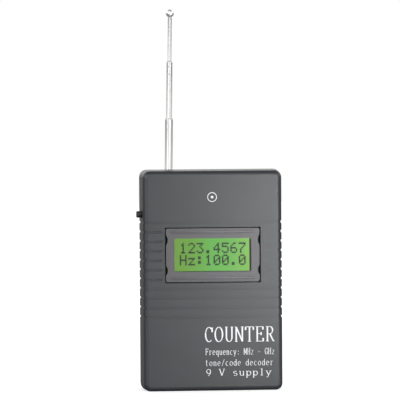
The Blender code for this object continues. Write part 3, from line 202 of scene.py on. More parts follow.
class Surface:
    """A Principled material with short ways to add procedural detail."""

    def __init__(self, name, colour, roughness, metallic=0.0):
        self.material = bpy.data.materials.new(name)
        self.material.use_nodes = True
        self.tree = self.material.node_tree
        self.shader = self.tree.nodes["Principled BSDF"]
        self.shader.inputs["Base Color"].default_value = (*colour, 1.0)
        self.shader.inputs["Roughness"].default_value = roughness
        self.shader.inputs["Metallic"].default_value = metallic
        self.normal = None

    def node(self, kind, **values):
        """Adds a node and sets its inputs or properties by name."""
        made = self.tree.nodes.new(kind)
        for key, value in values.items():
            label = key.replace("_", " ")
            if label in made.inputs:
                made.inputs[label].default_value = value
            else:
                setattr(made, key, value)
        return made

    def place(self, stretch=(1.0, 1.0, 1.0)):
        """Object coordinates, scaled."""
        coordinates = self.node("ShaderNodeTexCoord")
        mapping = self.node("ShaderNodeMapping", Scale=stretch)
        self.tree.links.new(coordinates.outputs["Object"], mapping.inputs["Vector"])
        return mapping.outputs["Vector"]

    def noise(self, size, detail=3.0, stretch=(1.0, 1.0, 1.0)):
        """Noise whose lumps are about size metres across."""
        noise = self.node("ShaderNodeTexNoise", Scale=1.0 / size, Detail=detail)
        self.tree.links.new(self.place(stretch), noise.inputs["Vector"])
        return noise.outputs["Fac"]

    def spread(self, value, low, high, new_low, new_high):
        """Maps a value from one range to another."""
        spread = self.node("ShaderNodeMapRange", From_Min=low, From_Max=high, To_Min=new_low,
                           To_Max=new_high)
        self.tree.links.new(value, spread.inputs["Value"])
        return spread.outputs["Result"]

    def tint(self, value, stops):
        """Base colour from a value through (position, colour) stops."""
        ramp = self.node("ShaderNodeValToRGB")
        elements = ramp.color_ramp.elements
        while len(elements) < len(stops):
            elements.new(0.5)
        for element, (position, colour) in zip(elements, stops):
            element.position = position
            element.color = (*colour, 1.0)
        self.tree.links.new(value, ramp.inputs["Fac"])
        self.tree.links.new(ramp.outputs["Color"], self.shader.inputs["Base Color"])
        return ramp.outputs["Color"]

    def rough(self, value, low, high):
        """Roughness that follows a value between low and high."""
        self.tree.links.new(self.spread(value, 0.3, 0.7, low, high),
                            self.shader.inputs["Roughness"])

    def bump(self, value, depth, strength=1.0):
        """Adds relief of about depth metres."""
        bump = self.node("ShaderNodeBump", Strength=strength, Distance=depth)
        self.tree.links.new(value, bump.inputs["Height"])
        if self.normal:
            self.tree.links.new(self.normal, bump.inputs["Normal"])
        self.normal = bump.outputs["Normal"]
        self.tree.links.new(self.normal, self.shader.inputs["Normal"])


def shade(colour, factor):
    """A colour made lighter or darker."""
    return tuple(min(1.0, channel * factor) for channel in colour)


# ---------------------------------------------------------------- materials

def case_plastic():
    """Charcoal moulded plastic with a fine spark-eroded texture."""
    colour = (0.0200, 0.0228, 0.0270)
    surface = Surface("case_plastic", colour, 0.45)
    surface.shader.inputs["Specular IOR Level"].default_value = 0.7
    cloud = surface.noise(0.012, 4.0)
    surface.tint(cloud, [(0.3, shade(colour, 0.92)), (0.7, shade(colour, 1.08))])
    grain = surface.noise(0.00035, 3.0)
    surface.rough(grain, 0.34, 0.42)
    surface.bump(surface.noise(0.0011, 2.0), 0.00003, 0.6)
    surface.bump(grain, 0.00004, 0.6)
    return surface.material


def black_plastic(name, colour=(0.016, 0.016, 0.017), roughness=0.42):
    """Smooth dark moulded plastic with slight mottling."""
    surface = Surface(name, colour, roughness)
    grain = surface.noise(0.0006, 2.0)
    surface.tint(grain, [(0.3, shade(colour, 0.85)), (0.7, shade(colour, 1.2))])
    surface.rough(grain, roughness - 0.05, roughness + 0.06)
    surface.bump(grain, 0.00002, 0.4)
    return surface.material


def metal(name, colour, roughness, grain_size=0.0004, stretch=(1.0, 1.0, 1.0), depth=0.000006):
    """A metal with fine grain or drawing lines along the stretched axis."""
    surface = Surface(name, colour, roughness, 1.0)
    grain = surface.noise(grain_size, 3.0, stretch)
    surface.tint(grain, [(0.25, shade(colour, 0.93)), (0.75, shade(colour, 1.04))])
    surface.rough(grain, roughness * 0.8, roughness * 1.25)
    surface.bump(grain, depth, 0.35)
    return surface.material


def bezel_paint():
    """Dark satin paint over pressed steel."""
    colour = (0.095, 0.092, 0.098)
    surface = Surface("bezel_steel", colour, 0.40, 0.5)
    grain = surface.noise(0.0005, 3.0, (0.25, 1.0, 1.0))
    surface.tint(grain, [(0.3, shade(colour, 0.9)), (0.7, shade(colour, 1.1))])
    surface.rough(grain, 0.36, 0.45)
    surface.bump(grain, 0.00001, 0.5)
    return surface.material


def lit_display():
    """The lit panel: green in the middle and yellower towards its ends."""
    surface = Surface("display_glass", (0.010, 0.020, 0.006), 0.35)
    split = surface.node("ShaderNodeSeparateXYZ")
    surface.tree.links.new(surface.place(), split.inputs["Vector"])
    across = surface.spread(split.outputs["X"], GLASS_LOW.x, GLASS_HIGH.x, 0.0, 1.0)
    ramp = surface.node("ShaderNodeValToRGB")
    elements = ramp.color_ramp.elements
    stops = ((0.05, (0.140, 0.310, 0.025)), (0.30, (0.130, 0.360, 0.035)),
             (0.5, (0.115, 0.430, 0.060)), (0.75, (0.140, 0.440, 0.060)),
             (0.95, (0.200, 0.480, 0.055)))
    while len(elements) < len(stops):
        elements.new(0.5)
    for element, (position, colour) in zip(elements, stops):
        element.position = position
        element.color = (*colour, 1.0)
    surface.tree.links.new(across, ramp.inputs["Fac"])
    surface.tree.links.new(ramp.outputs["Color"], surface.shader.inputs["Emission Color"])
    surface.shader.inputs["Emission Strength"].default_value = 1.0
    surface.bump(surface.noise(0.004), 0.00001, 0.2)
    return surface.material


def lit_shadow():
    """Shadow of the dots on the lit panel: the panel's green, dimmed."""
    surface = Surface("display_shadow", (0.006, 0.014, 0.005), 0.4)
    surface.shader.inputs["Emission Color"].default_value = (0.075, 0.230, 0.030, 1.0)
    surface.shader.inputs["Emission Strength"].default_value = 1.0
    surface.bump(surface.noise(0.002), 0.00001, 0.2)
    return surface.material


def cover_glass():
    """Clear glass in front of the display."""
    surface = Surface("cover_glass", (0.97, 1.0, 0.97), 0.03)
    surface.shader.inputs["Transmission Weight"].default_value = 1.0
    surface.shader.inputs["IOR"].default_value = 1.45
    surface.bump(surface.noise(0.003), 0.000002, 0.2)
    return surface.material


def ink(name, colour, roughness=0.5):
    """Screen-printed ink with faint unevenness."""
    surface = Surface(name, colour, roughness)
    grain = surface.noise(0.0005, 3.0)
    surface.tint(grain, [(0.3, shade(colour, 0.86)), (0.6, colour)])
    surface.bump(grain, 0.00001, 0.4)
    return surface.material


def board_laminate():
    """Green solder mask with darker ground areas and paler tracks under it."""
    surface = Surface("board_laminate", (0.02, 0.16, 0.06), 0.3)
    brick = surface.node("ShaderNodeTexBrick", Scale=260.0, Mortar_Size=0.06,
                         Brick_Width=1.7, Row_Height=0.5)
    brick.inputs["Color1"].default_value = (0.012, 0.130, 0.045, 1.0)
    brick.inputs["Color2"].default_value = (0.018, 0.165, 0.060, 1.0)
    brick.inputs["Mortar"].default_value = (0.050, 0.270, 0.110, 1.0)
    turn = surface.node("ShaderNodeMapping", Rotation=(math.pi / 2, 0.0, 0.0))
    surface.tree.links.new(surface.place(), turn.inputs["Vector"])
    surface.tree.links.new(turn.outputs["Vector"], brick.inputs["Vector"])
    surface.tree.links.new(brick.outputs["Color"], surface.shader.inputs["Base Color"])
    surface.bump(brick.outputs["Fac"], 0.00003, 0.5)
    return surface.material


def striped(name, colours, size, axis, roughness=0.5):
    """Layered material with fine stripes square to an axis."""
    surface = Surface(name, colours[0], roughness)
    wave = surface.node("ShaderNodeTexWave", Scale=1.0 / size, Distortion=0.2)
    wave.bands_direction = axis
    surface.tree.links.new(surface.place(), wave.inputs["Vector"])
    surface.tint(wave.outputs["Fac"], [(0.35, colours[0]), (0.65, colours[1])])
    surface.bump(wave.outputs["Fac"], 0.00001, 0.3)
    return surface.material


def battery_jacket():
    """Printed steel jacket: dark with a copper-coloured band near the terminals."""
    surface = Surface("battery_jacket", (0.03, 0.03, 0.035), 0.3, 0.5)
    split = surface.node("ShaderNodeSeparateXYZ")
    surface.tree.links.new(surface.place(), split.inputs["Vector"])
    low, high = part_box("battery")
    along = surface.spread(split.outputs["X"], low.x, high.x, 0.0, 1.0)
    surface.tint(along, [(0.0, (0.03, 0.03, 0.035)), (0.70, (0.03, 0.03, 0.035)),
                         (0.705, (0.55, 0.26, 0.08)), (1.0, (0.60, 0.30, 0.10))])
    surface.rough(surface.noise(0.002), 0.24, 0.36)
    surface.bump(surface.noise(0.0015), 0.00002, 0.3)
    return surface.material


def make_materials():
    """Every material, by name."""
    zinc = (0.62, 0.62, 0.60)
    return {
        "case": case_plastic(),
        "button": black_plastic("button_plastic"),
        "chip": black_plastic("chip_epoxy", (0.02, 0.02, 0.021), 0.5),
        "snap": black_plastic("snap_vinyl", (0.018, 0.018, 0.018), 0.55),
        "chrome": metal("antenna_chrome", (0.61, 0.61, 0.60), 0.36, 0.0012, (1.0, 1.0, 0.05),
                        0.0000008),
        "ball_chrome": metal("antenna_ball_chrome", (0.97, 0.97, 0.95), 0.40, 0.0012,
                             (1.0, 1.0, 1.0), 0.0000008),
        "zinc": metal("zinc_screw", zinc, 0.30),
        "can": metal("crystal_can", (0.72, 0.72, 0.71), 0.22),
        "brass": metal("bracket_brass", (0.72, 0.55, 0.24), 0.28),
        "nickel": metal("terminal_nickel", (0.68, 0.66, 0.62), 0.22),
        "solder": metal("solder", (0.70, 0.70, 0.70), 0.25, 0.0008),
        "bezel": bezel_paint(),
        "lit": lit_display(),
        "cover": cover_glass(),
        "segment": ink("display_segment", (0.004, 0.022, 0.006), 0.4),
        "shadow": lit_shadow(),
        # the dark panel behind the lit area: it shows only as strips at the right and below, where
        # the lit area stops short
        "dark_panel": ink("display_dark_panel", (0.012, 0.022, 0.010), 0.4),
        "white": ink("print_white", (0.74, 0.75, 0.77), 0.45),
        "guide": ink("light_guide", (0.75, 0.80, 0.66), 0.3),
        "board": board_laminate(),
        "zebra": striped("zebra_rubber", ((0.55, 0.54, 0.50), (0.03, 0.03, 0.03)), 0.0004, "X"),
        "sleeve": ink("capacitor_sleeve", (0.015, 0.020, 0.080), 0.3),
        "trimmer": ink("trimmer_blue", (0.030, 0.10, 0.42), 0.45),
        "battery": battery_jacket(),
        "red": ink("lead_red", (0.50, 0.018, 0.015), 0.38),
        "black": ink("lead_black", (0.014, 0.014, 0.014), 0.38),
    }


# ---------------------------------------------------------------- case, display and inner pieces

def make_case(materials):
    """Both shells, the door and the screws, from the CAD with softened edges."""
    refine("front_shell", materials["case"], 0.0)
    refine("rear_shell", materials["case"], 0.00020)
    refine("battery_door", materials["case"], 0.00015)
    for stem in ("case_screw", "board_screw", "lcd_screw"):
        for number in range(1, 5):
            refine(f"{stem}_{number}", materials["zinc"], 0.00004)
    refine("side_button", materials["button"], 0.00008)
    refine("switch_body", materials["button"], 0.00006)


def make_inner_pieces(materials):
    """Boards, parts, battery and leads."""
    finishes = {
        "lcd_board": ("board", 0.00006), "main_board": ("board", 0.00006),
        "lcd_backlight": ("guide", 0.00010), "zebra_strip_upper": ("zebra", 0.00006),
        "zebra_strip_lower": ("zebra", 0.00006), "lcd_controller": ("chip", 0.0),
        "lcd_pin_header": ("chip", 0.00006), "microcontroller": ("chip", 0.0),
        "prescaler_chip": ("chip", 0.0), "amplifier_chip": ("chip", 0.0),
        "voltage_regulator": ("chip", 0.00010), "crystal": ("can", 0.00010),
        "input_capacitor": ("sleeve", 0.00008), "output_capacitor": ("sleeve", 0.00008),
        "contrast_trimmer": ("trimmer", 0.0), "antenna_bracket_lower": ("brass", 0.0),
        "antenna_bracket_upper": ("brass", 0.0), "battery": ("battery", 0.0),
        "battery_positive_terminal": ("nickel", 0.00008),
        "battery_negative_terminal": ("nickel", 0.00008), "battery_snap": ("snap", 0.0),
        "battery_lead_red": ("red", 0.0), "battery_lead_black": ("black", 0.0),
    }
    for node, (finish, edge) in finishes.items():
        refine(node, materials[finish], edge)


def make_display(materials):
    """Bezel with its beads, lit panel, the dark panel behind it that shows past the lit area's
    right and lower ends, cover glass and two lines of characters.
    """
    refine("lcd_bezel", materials["bezel"], 0.00018, 28.0, 3)
    for name, side in (("bezel_bead_upper", 1), ("bezel_bead_lower", -1)):
        bead = object_from(name, rounded_bead(DISPLAY_X, DISPLAY_Z + side * BEAD_OFFSET),
                           materials["bezel"], 50)
        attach(bead, "case")
    panel_y = GLASS_LOW.y + 0.0006
    cover_back_y = GLASS_LOW.y + 0.0004
    panel = bmesh.new()
    add_slab(panel, (GLASS_LOW.x, panel_y, GLASS_LOW.z), tuple(GLASS_HIGH), 0.0002)
    panel = object_from("lcd_panel", panel, materials["dark_panel"])
    cover = bmesh.new()
    add_slab(cover, tuple(GLASS_LOW), (GLASS_HIGH.x, cover_back_y, GLASS_HIGH.z), 0.0001)
    cover = object_from("lcd_cover_glass", cover, materials["cover"])
    lit_y = panel_y - DOT_DEPTH
    lit = bmesh.new()
    add_prism(lit, [(DISPLAY_X - LIT_LEFT, DISPLAY_Z - LIT_BELOW),
                    (DISPLAY_X + LIT_RIGHT, DISPLAY_Z - LIT_BELOW),
                    (DISPLAY_X + LIT_RIGHT, DISPLAY_Z + LIT_ABOVE),
                    (DISPLAY_X - LIT_LEFT, DISPLAY_Z + LIT_ABOVE)], lit_y, panel_y + DOT_DEPTH)
    lit = object_from("lcd_lit_area", lit, materials["lit"])
    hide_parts("lcd_glass")
    for piece in (panel, cover, lit):
        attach(piece, "case")
    for name, text, centre_z in (("lcd_upper_line", "123.4567", DISPLAY_Z + 0.00368),
                                 ("lcd_lower_line", "Hz:100.0", DISPLAY_Z - 0.00265)):
        make_dot_line(name, text, 0.0, centre_z, DOT_GROWTH, lit_y - DOT_DEPTH,
                      materials["segment"])
        make_dot_line(f"{name}_shadow", text, SHADOW_SHIFT, centre_z - SHADOW_SHIFT,
                      2 * DOT_GROWTH, lit_y, materials["shadow"])


def rounded_bead(centre_x, centre_z):
    """A long pressed bead with round ends: a level top and gently sloping flanks."""
    builder = bmesh.new()
    rings = []
    half = BEAD_WIDTH / 2
    reach = BEAD_LENGTH / 2 - half
    steps = 8
    for step in range(steps + 1):
        share = step / steps
        radius = half - (half - BEAD_TOP) * share
        rise = BEAD_HEIGHT * (1 - math.cos(math.pi * share)) / 2 - BEAD_ROOT * (1 - share)
        outline = (arc(centre_x + reach, centre_z, radius, radius, -90, 90, 10)
                   + arc(centre_x - reach, centre_z, radius, radius, 90, 270, 10))
        rings.append([builder.verts.new((x, BEZEL_FACE_Y - rise, z)) for x, z in outline])
    for near, far in zip(rings, rings[1:]):
        for index in range(len(near)):
            following = (index + 1) % len(near)
            builder.faces.new((near[index], near[following], far[following], far[index]))
    builder.faces.new(rings[-1])
    builder.faces.new(list(reversed(rings[0])))
    return builder


def add_slab(builder, low, high, edge):
    """Adds a box with bevelled edges."""
    size = Vector(high) - Vector(low)
    place = Matrix.Translation((Vector(low) + Vector(high)) / 2) @ Matrix.Diagonal((*size, 1.0))
    made = bmesh.ops.create_cube(builder, size=1.0, matrix=place)["verts"]
    edges = list({edge_ for vertex in made for edge_ in vertex.link_edges})
    bmesh.ops.bevel(builder, geom=edges, offset=edge, segments=2, profile=0.5, affect="EDGES")


# Dot characters, five wide and seven high: one number a row, its bits from left to right.
DOT_ROWS = {
    "0": (14, 17, 19, 21, 25, 17, 14), "1": (4, 12, 4, 4, 4, 4, 14),
    "2": (14, 17, 1, 2, 4, 8, 31), "3": (31, 2, 4, 2, 1, 17, 14),
    "4": (2, 6, 10, 18, 31, 2, 2), "5": (31, 16, 30, 1, 1, 17, 14),
    "6": (6, 8, 16, 30, 17, 17, 14), "7": (31, 1, 2, 4, 8, 8, 8),
    "H": (17, 17, 17, 31, 17, 17, 17), "z": (0, 0, 31, 2, 4, 8, 31),
    ".": (0, 0, 0, 0, 0, 12, 12), ":": (0, 12, 12, 0, 12, 12, 0),
}
CHARACTER_PITCH = 0.00448
DOT_PITCH_X = 0.00072
DOT_PITCH_Z = 0.00079
DOT_GROWTH = 0.00003             # each dot is this much larger than its pitch
DOT_DEPTH = 0.00004
SHADOW_SHIFT = 0.00010           # the dots' shadow on the panel lies this far right and down


def make_dot_line(name, text, shift_x, centre_z, growth, front_y, material):
    """One line of dot characters on the lit panel."""
    builder = bmesh.new()
    half_x = (DOT_PITCH_X + growth) / 2
    half_z = (DOT_PITCH_Z + growth) / 2
    for place, letter in enumerate(text):
        centre_x = DISPLAY_X + shift_x + (place - (len(text) - 1) / 2) * CHARACTER_PITCH
        for row, bits in enumerate(DOT_ROWS[letter]):
            z = centre_z + (3 - row) * DOT_PITCH_Z
            for column in range(5):
                if bits >> (4 - column) & 1:
                    x = centre_x + (column - 2) * DOT_PITCH_X
                    add_prism(builder, [(x - half_x, z - half_z), (x + half_x, z - half_z),
                                        (x + half_x, z + half_z), (x - half_x, z + half_z)],
                              front_y - DOT_DEPTH, front_y + DOT_DEPTH)
    line = object_from(name, builder, material)
    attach(line, "case")


# ---------------------------------------------------------------- antenna

def box_centre(node):
    """Middle of a CAD node's box."""
    low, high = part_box(node)
    return (low + high) / 2


TIP_RADIUS = 0.00105
TUBE_STEP = 0.0005               # each tube's radius past the next thinner one's
TUBE_WALL = 0.00025
TUBE_GAP = 0.0001
TUBE_FOOT = 0.00015              # how far a section's foot stands out from its tube


def make_antenna(materials):
    """Round chrome tubes on the CAD's leaning axis."""
    foot = box_centre("antenna_base_tube")
    ball = box_centre("antenna_tip_ball")
    axis = (ball - foot).normalized()
    turn = axis.to_track_quat("Z", "Y").to_matrix().to_4x4()
    place = Matrix.Translation(foot) @ turn

    def along(node):
        """Lowest and highest place of a node along the axis, from the foot."""
        corners = [axis.dot(Vector(vertex.co) - foot)
                   for vertex in frame["nodes"][node].data.vertices]
        return min(corners), max(corners)

    tubes = ("antenna_middle_section", "antenna_lower_section", "antenna_base_tube")
    for number, node in enumerate(tubes):
        inner = TIP_RADIUS + number * TUBE_STEP
        radius = inner + TUBE_STEP
        low, high = along(node)
        hole = inner + TUBE_GAP
        foot_radius = radius + TUBE_FOOT if node != "antenna_base_tube" else radius
        profile = [(foot_radius - 0.0001, low), (foot_radius, low + 0.0002),
                   (foot_radius, low + 0.0018), (radius, low + 0.0022), (radius, high - 0.0010)]
        for index in range(1, 7):
            angle = math.pi / 2 * index / 6
            profile.append((radius - (radius - hole - TUBE_GAP) * (1 - math.cos(angle)),
                            high - 0.0010 + 0.0010 * math.sin(angle)))
        profile += [(hole, high - 0.0001), (hole, high - 0.0006),
                    (radius - TUBE_WALL, high - 0.0016), (radius - TUBE_WALL, low)]
        piece = object_from(f"{node}_turned", turned(profile, place), materials["chrome"], 40)
        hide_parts(node)
        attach(piece, body_of(node))

    low, high = along("antenna_tip_rod")
    ball_low, ball_high = along("antenna_tip_ball")
    neck = ball_low - 0.0003
    profile = [(0.0, low), (TIP_RADIUS, low), (TIP_RADIUS + TUBE_FOOT, low + 0.0002),
               (TIP_RADIUS + TUBE_FOOT, low + 0.0018), (TIP_RADIUS, low + 0.0022),
               (TIP_RADIUS, neck - 0.0001), (TIP_RADIUS - 0.0001, neck), (0.0005, neck),
               (0.0005, high), (0.0, high)]
    rod = object_from("antenna_tip_rod_turned", turned(profile, place), materials["chrome"], 40)
    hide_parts("antenna_tip_rod")
    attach(rod, body_of("antenna_tip_rod"))

    radius = (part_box("antenna_tip_ball")[1].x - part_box("antenna_tip_ball")[0].x) / 2
    centre = ball_high - radius
    start = math.asin(min(1.0, (TIP_RADIUS + 0.00005) / radius))
    profile = [(0.0, centre + 0.0003), (0.0008, centre + 0.0003), (0.0008, ball_low)]
    steps = 22
    for index in range(steps):
        angle = start + (math.pi - start) * index / steps
        profile.append((radius * math.sin(angle), centre - radius * math.cos(angle)))
    profile.append((0.0, ball_high))
    tip = object_from("antenna_tip_ball_turned", turned(profile, place),
                      materials["ball_chrome"], 60)
    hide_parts("antenna_tip_ball")
    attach(tip, body_of("antenna_tip_ball"))


# ---------------------------------------------------------------- print on the face

INK_DEPTH = 0.00003


def arc(centre_x, centre_z, radius_x, radius_z, start, end, steps=14):
    """Points on an ellipse's arc, angles in degrees."""
    points = []
    for step in range(steps + 1):
        angle = math.radians(start + (end - start) * step / steps)
        points.append((centre_x + radius_x * math.cos(angle),
                       centre_z + radius_z * math.sin(angle)))
    return points


def serif(x, z, left=0.13, right=0.13):
    """A short level stroke at a stem's end."""
    return [(x - left, z), (x + right, z)]


X_HEIGHT = 0.66
BOWL = 0.33

# Letters in a cell one wide: baseline 0, capitals 1 high. Each is a list of pen strokes.
LETTERS = {
    "C": [arc(0.54, 0.5, 0.34, 0.5, 48, 312), [(0.84, 0.66), (0.84, 0.98)]],
    "O": [arc(0.5, 0.5, 0.36, 0.5, 0, 360, 24)],
    "U": [[(0.24, 1.0), (0.24, 0.3)] + arc(0.51, 0.3, 0.27, 0.3, 180, 360),
          [(0.78, 0.3), (0.78, 1.0)], serif(0.24, 1.0), serif(0.78, 1.0)],
    "N": [[(0.2, 0.0), (0.2, 1.0)], [(0.2, 1.0), (0.8, 0.0)], [(0.8, 0.0), (0.8, 1.0)],
          serif(0.2, 0.0), serif(0.2, 1.0, 0.13, 0.0), serif(0.8, 1.0)],
    "T": [[(0.12, 1.0), (0.88, 1.0)], [(0.5, 1.0), (0.5, 0.0)], serif(0.5, 0.0, 0.17, 0.17),
          [(0.12, 0.78), (0.12, 1.0)], [(0.88, 0.78), (0.88, 1.0)]],
    "E": [[(0.26, 0.0), (0.26, 1.0)], [(0.12, 1.0), (0.82, 1.0)], [(0.26, 0.52), (0.64, 0.52)],
          [(0.12, 0.0), (0.84, 0.0)], [(0.82, 0.8), (0.82, 1.0)], [(0.84, 0.0), (0.84, 0.22)],
          [(0.64, 0.42), (0.64, 0.62)]],
    "R": [[(0.26, 0.0), (0.26, 1.0)], [(0.12, 1.0), (0.5, 1.0)] +
          arc(0.5, 0.75, 0.27, 0.25, 90, -90) + [(0.26, 0.5)], [(0.5, 0.5), (0.84, 0.0)],
          serif(0.26, 0.0), serif(0.86, 0.0, 0.06, 0.1)],
    "F": [[(0.26, 0.0), (0.26, 1.0)], [(0.12, 1.0), (0.82, 1.0)], [(0.26, 0.52), (0.64, 0.52)],
          [(0.82, 0.8), (0.82, 1.0)], [(0.64, 0.42), (0.64, 0.62)], serif(0.26, 0.0)],
    "M": [[(0.17, 0.0), (0.17, 1.0)], [(0.17, 1.0), (0.5, 0.2)], [(0.5, 0.2), (0.83, 1.0)],
          [(0.83, 1.0), (0.83, 0.0)], serif(0.17, 0.0), serif(0.83, 0.0),
          serif(0.14, 1.0, 0.08, 0.0), serif(0.86, 1.0, 0.0, 0.08)],
    "H": [[(0.22, 0.0), (0.22, 1.0)], [(0.78, 0.0), (0.78, 1.0)], [(0.22, 0.52), (0.78, 0.52)],
          serif(0.22, 0.0), serif(0.22, 1.0), serif(0.78, 0.0), serif(0.78, 1.0)],
    "G": [arc(0.52, 0.5, 0.34, 0.5, 48, 330), [(0.82, 0.08), (0.82, 0.44)],
          serif(0.8, 0.44, 0.18, 0.1), [(0.82, 0.68), (0.82, 0.98)]],
    "V": [[(0.16, 1.0), (0.5, 0.0)], [(0.5, 0.0), (0.84, 1.0)], serif(0.16, 1.0),
          serif(0.84, 1.0)],
    "9": [arc(0.5, 0.68, 0.29, 0.32, 0, 360, 22), arc(0.3, 0.66, 0.49, 0.66, 0, -78)],
    "r": [[(0.36, 0.0), (0.36, X_HEIGHT)], arc(0.62, 0.40, 0.26, 0.26, 165, 50, 8),
          serif(0.36, 0.0, 0.16, 0.18), serif(0.36, X_HEIGHT, 0.16, 0.0)],
    "e": [arc(0.5, BOWL, 0.31, BOWL, 8, 318, 18), [(0.2, 0.37), (0.81, 0.37)]],
    "q": [arc(0.46, BOWL, 0.28, BOWL, 0, 360, 18), [(0.75, X_HEIGHT), (0.75, -0.3)],
          serif(0.75, -0.3)],
    "u": [[(0.24, X_HEIGHT), (0.24, 0.2)] + arc(0.48, 0.22, 0.24, 0.22, 180, 330, 8),
          [(0.74, X_HEIGHT), (0.74, 0.0)], serif(0.24, X_HEIGHT, 0.12, 0.0),
          serif(0.74, X_HEIGHT, 0.12, 0.0), serif(0.74, 0.0, 0.0, 0.12)],
    "n": [[(0.26, 0.0), (0.26, X_HEIGHT)], arc(0.5, 0.42, 0.24, 0.24, 170, 0, 8) + [(0.74, 0.0)],
          serif(0.26, 0.0), serif(0.74, 0.0), serif(0.26, X_HEIGHT, 0.13, 0.0)],
    "c": [arc(0.52, BOWL, 0.31, BOWL, 50, 312, 14)],
    "y": [[(0.2, X_HEIGHT), (0.52, 0.02)], [(0.82, X_HEIGHT), (0.38, -0.28)], serif(0.2, X_HEIGHT),
          serif(0.8, X_HEIGHT), serif(0.3, -0.28, 0.08, 0.08)],
    "z": [[(0.2, X_HEIGHT), (0.78, X_HEIGHT)], [(0.78, X_HEIGHT), (0.2, 0.0)],
          [(0.2, 0.0), (0.8, 0.0)]],
    "t": [[(0.42, 0.92), (0.42, 0.16)] + arc(0.6, 0.16, 0.18, 0.16, 180, 300, 6),
          [(0.2, X_HEIGHT), (0.74, X_HEIGHT)]],
    "o": [arc(0.5, BOWL, 0.31, BOWL, 0, 360, 20)],
    "d": [arc(0.45, BOWL, 0.28, BOWL, 0, 360, 18), [(0.75, 1.0), (0.75, 0.0)],
          serif(0.75, 1.0, 0.14, 0.0), serif(0.75, 0.0, 0.0, 0.12)],
    "s": [arc(0.5, 0.49, 0.24, 0.17, 40, 255, 8) + arc(0.5, 0.17, 0.27, 0.17, 80, -140, 10)],
    "p": [[(0.26, X_HEIGHT), (0.26, -0.3)], arc(0.55, BOWL, 0.28, BOWL, 0, 360, 18),
          serif(0.26, -0.3), serif(0.26, X_HEIGHT, 0.13, 0.0)],
    "l": [[(0.5, 1.0), (0.5, 0.0)], serif(0.5, 0.0, 0.18, 0.18), serif(0.5, 1.0, 0.16, 0.0)],
    ":": [[(0.5, 0.02), (0.5, 0.16)], [(0.5, 0.46), (0.5, 0.60)]],
    "-": [[(0.18, 0.40), (0.82, 0.40)]],
    "/": [[(0.2, -0.08), (0.8, 1.05)]],
    " ": [],
}


def pen_width(direction, thick, thin):
    """Width of a broad pen's stroke: thick going down, thin going across or up to the right."""
    share = abs(direction.y)
    if direction.x * direction.y > 0.15:
        share *= 0.45
    return thin + (thick - thin) * share


def add_stroke(builder, points, thick, thin, lift):
    """Adds one pen stroke as a thin raised strip along its points."""
    closed = (points[0] - points[-1]).length < 1e-7
    if closed:
        points = points[:-1]
    count = len(points)
    left = []
    right = []
    for index, point in enumerate(points):
        if closed:
            before, after = points[index - 1], points[(index + 1) % count]
        else:
            before, after = points[max(index - 1, 0)], points[min(index + 1, count - 1)]
        direction = (after - before).normalized()
        half = pen_width(direction, thick, thin) / 2
        side = Vector((-direction.y, direction.x)) * half
        left.append(point + side)
        right.append(point - side)
    front_y = FACE_Y - INK_DEPTH - lift
    back_y = FACE_Y + INK_DEPTH
    corners = [[builder.verts.new((p.x, y, p.y)) for p in line]
               for line in (left, right) for y in (front_y, back_y)]
    left_front, left_back, right_front, right_back = corners
    spans = count if closed else count - 1
    for index in range(spans):
        j = (index + 1) % count
        builder.faces.new((left_front[index], left_front[j], right_front[j], right_front[index]))
        builder.faces.new((left_back[j], left_back[index], right_back[index], right_back[j]))
        builder.faces.new((left_front[j], left_front[index], left_back[index], left_back[j]))
        builder.faces.new((right_front[index], right_front[j], right_back[j], right_back[index]))
    if not closed:
        for index in (0, count - 1):
            builder.faces.new((left_front[index], left_back[index], right_back[index],
                               right_front[index]))


def print_line(name, text, left_x, right_x, base_z, height, thick, thin, material):
    """A line of letters of equal cells between two places on the face."""
    cell = (right_x - left_x) / len(text)
    builder = bmesh.new()
    for place, letter in enumerate(text):
        for number, stroke in enumerate(LETTERS[letter]):
            points = [Vector((left_x + (place + x) * cell, base_z + z * height))
                      for x, z in stroke]
            add_stroke(builder, points, thick, thin, number * 0.000001)
    line = object_from(name, builder, material)
    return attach(line, "case")


def make_print(materials):
    """Generic words in the places of the print, and a plain ring mark."""
    white = materials["white"]
    print_line("print_title", "COUNTER", -0.0053, 0.0327, 0.0260, 0.0077, 0.00080, 0.00030, white)
    print_line("print_range", "Frequency: MHz - GHz", -0.0045, 0.0326, 0.0191, 0.0033, 0.00030,
               0.00015, white)
    print_line("print_decoder", "tone/code decoder", -0.0047, 0.0319, 0.0133, 0.0033, 0.00030,
               0.00015, white)
    print_line("print_supply", "9 V supply", -0.0045, 0.0309, 0.0080, 0.0035, 0.00044, 0.00022,
               white)
    ring = bmesh.new()
    centre = Vector((-0.00027, 0.10245))
    for radius, width in ((0.00235, 0.00040), (0.00040, 0.00066)):
        points = [centre + Vector(point) for point in arc(0.0, 0.0, radius, radius, 0, 360, 40)]
        add_stroke(ring, points, width, width, 0.0)
    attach(object_from("print_ring", ring, white), "case")


# ---------------------------------------------------------------- stage

def make_floor():
    """A wide floor: pale in view, and only grey in the reflections on the object."""
    builder = bmesh.new()
    bmesh.ops.create_grid(builder, x_segments=2, y_segments=2, size=4.0)
    surface = Surface("floor", (0.90, 0.90, 0.90), 0.9)
    seen = surface.node("ShaderNodeLightPath").outputs["Is Camera Ray"]
    surface.tint(seen, [(0.0, (FLOOR_REFLECTED,) * 3), (1.0, (0.90, 0.90, 0.90))])
    surface.shader.inputs["Emission Color"].default_value = (1.0, 1.0, 1.0, 1.0)
    surface.tree.links.new(surface.spread(seen, 0.0, 1.0, 0.0, FLOOR_GLOW),
                           surface.shader.inputs["Emission Strength"])
    surface.bump(surface.noise(0.01), 0.00001, 0.1)
    floor = object_from("floor", builder, surface.material)


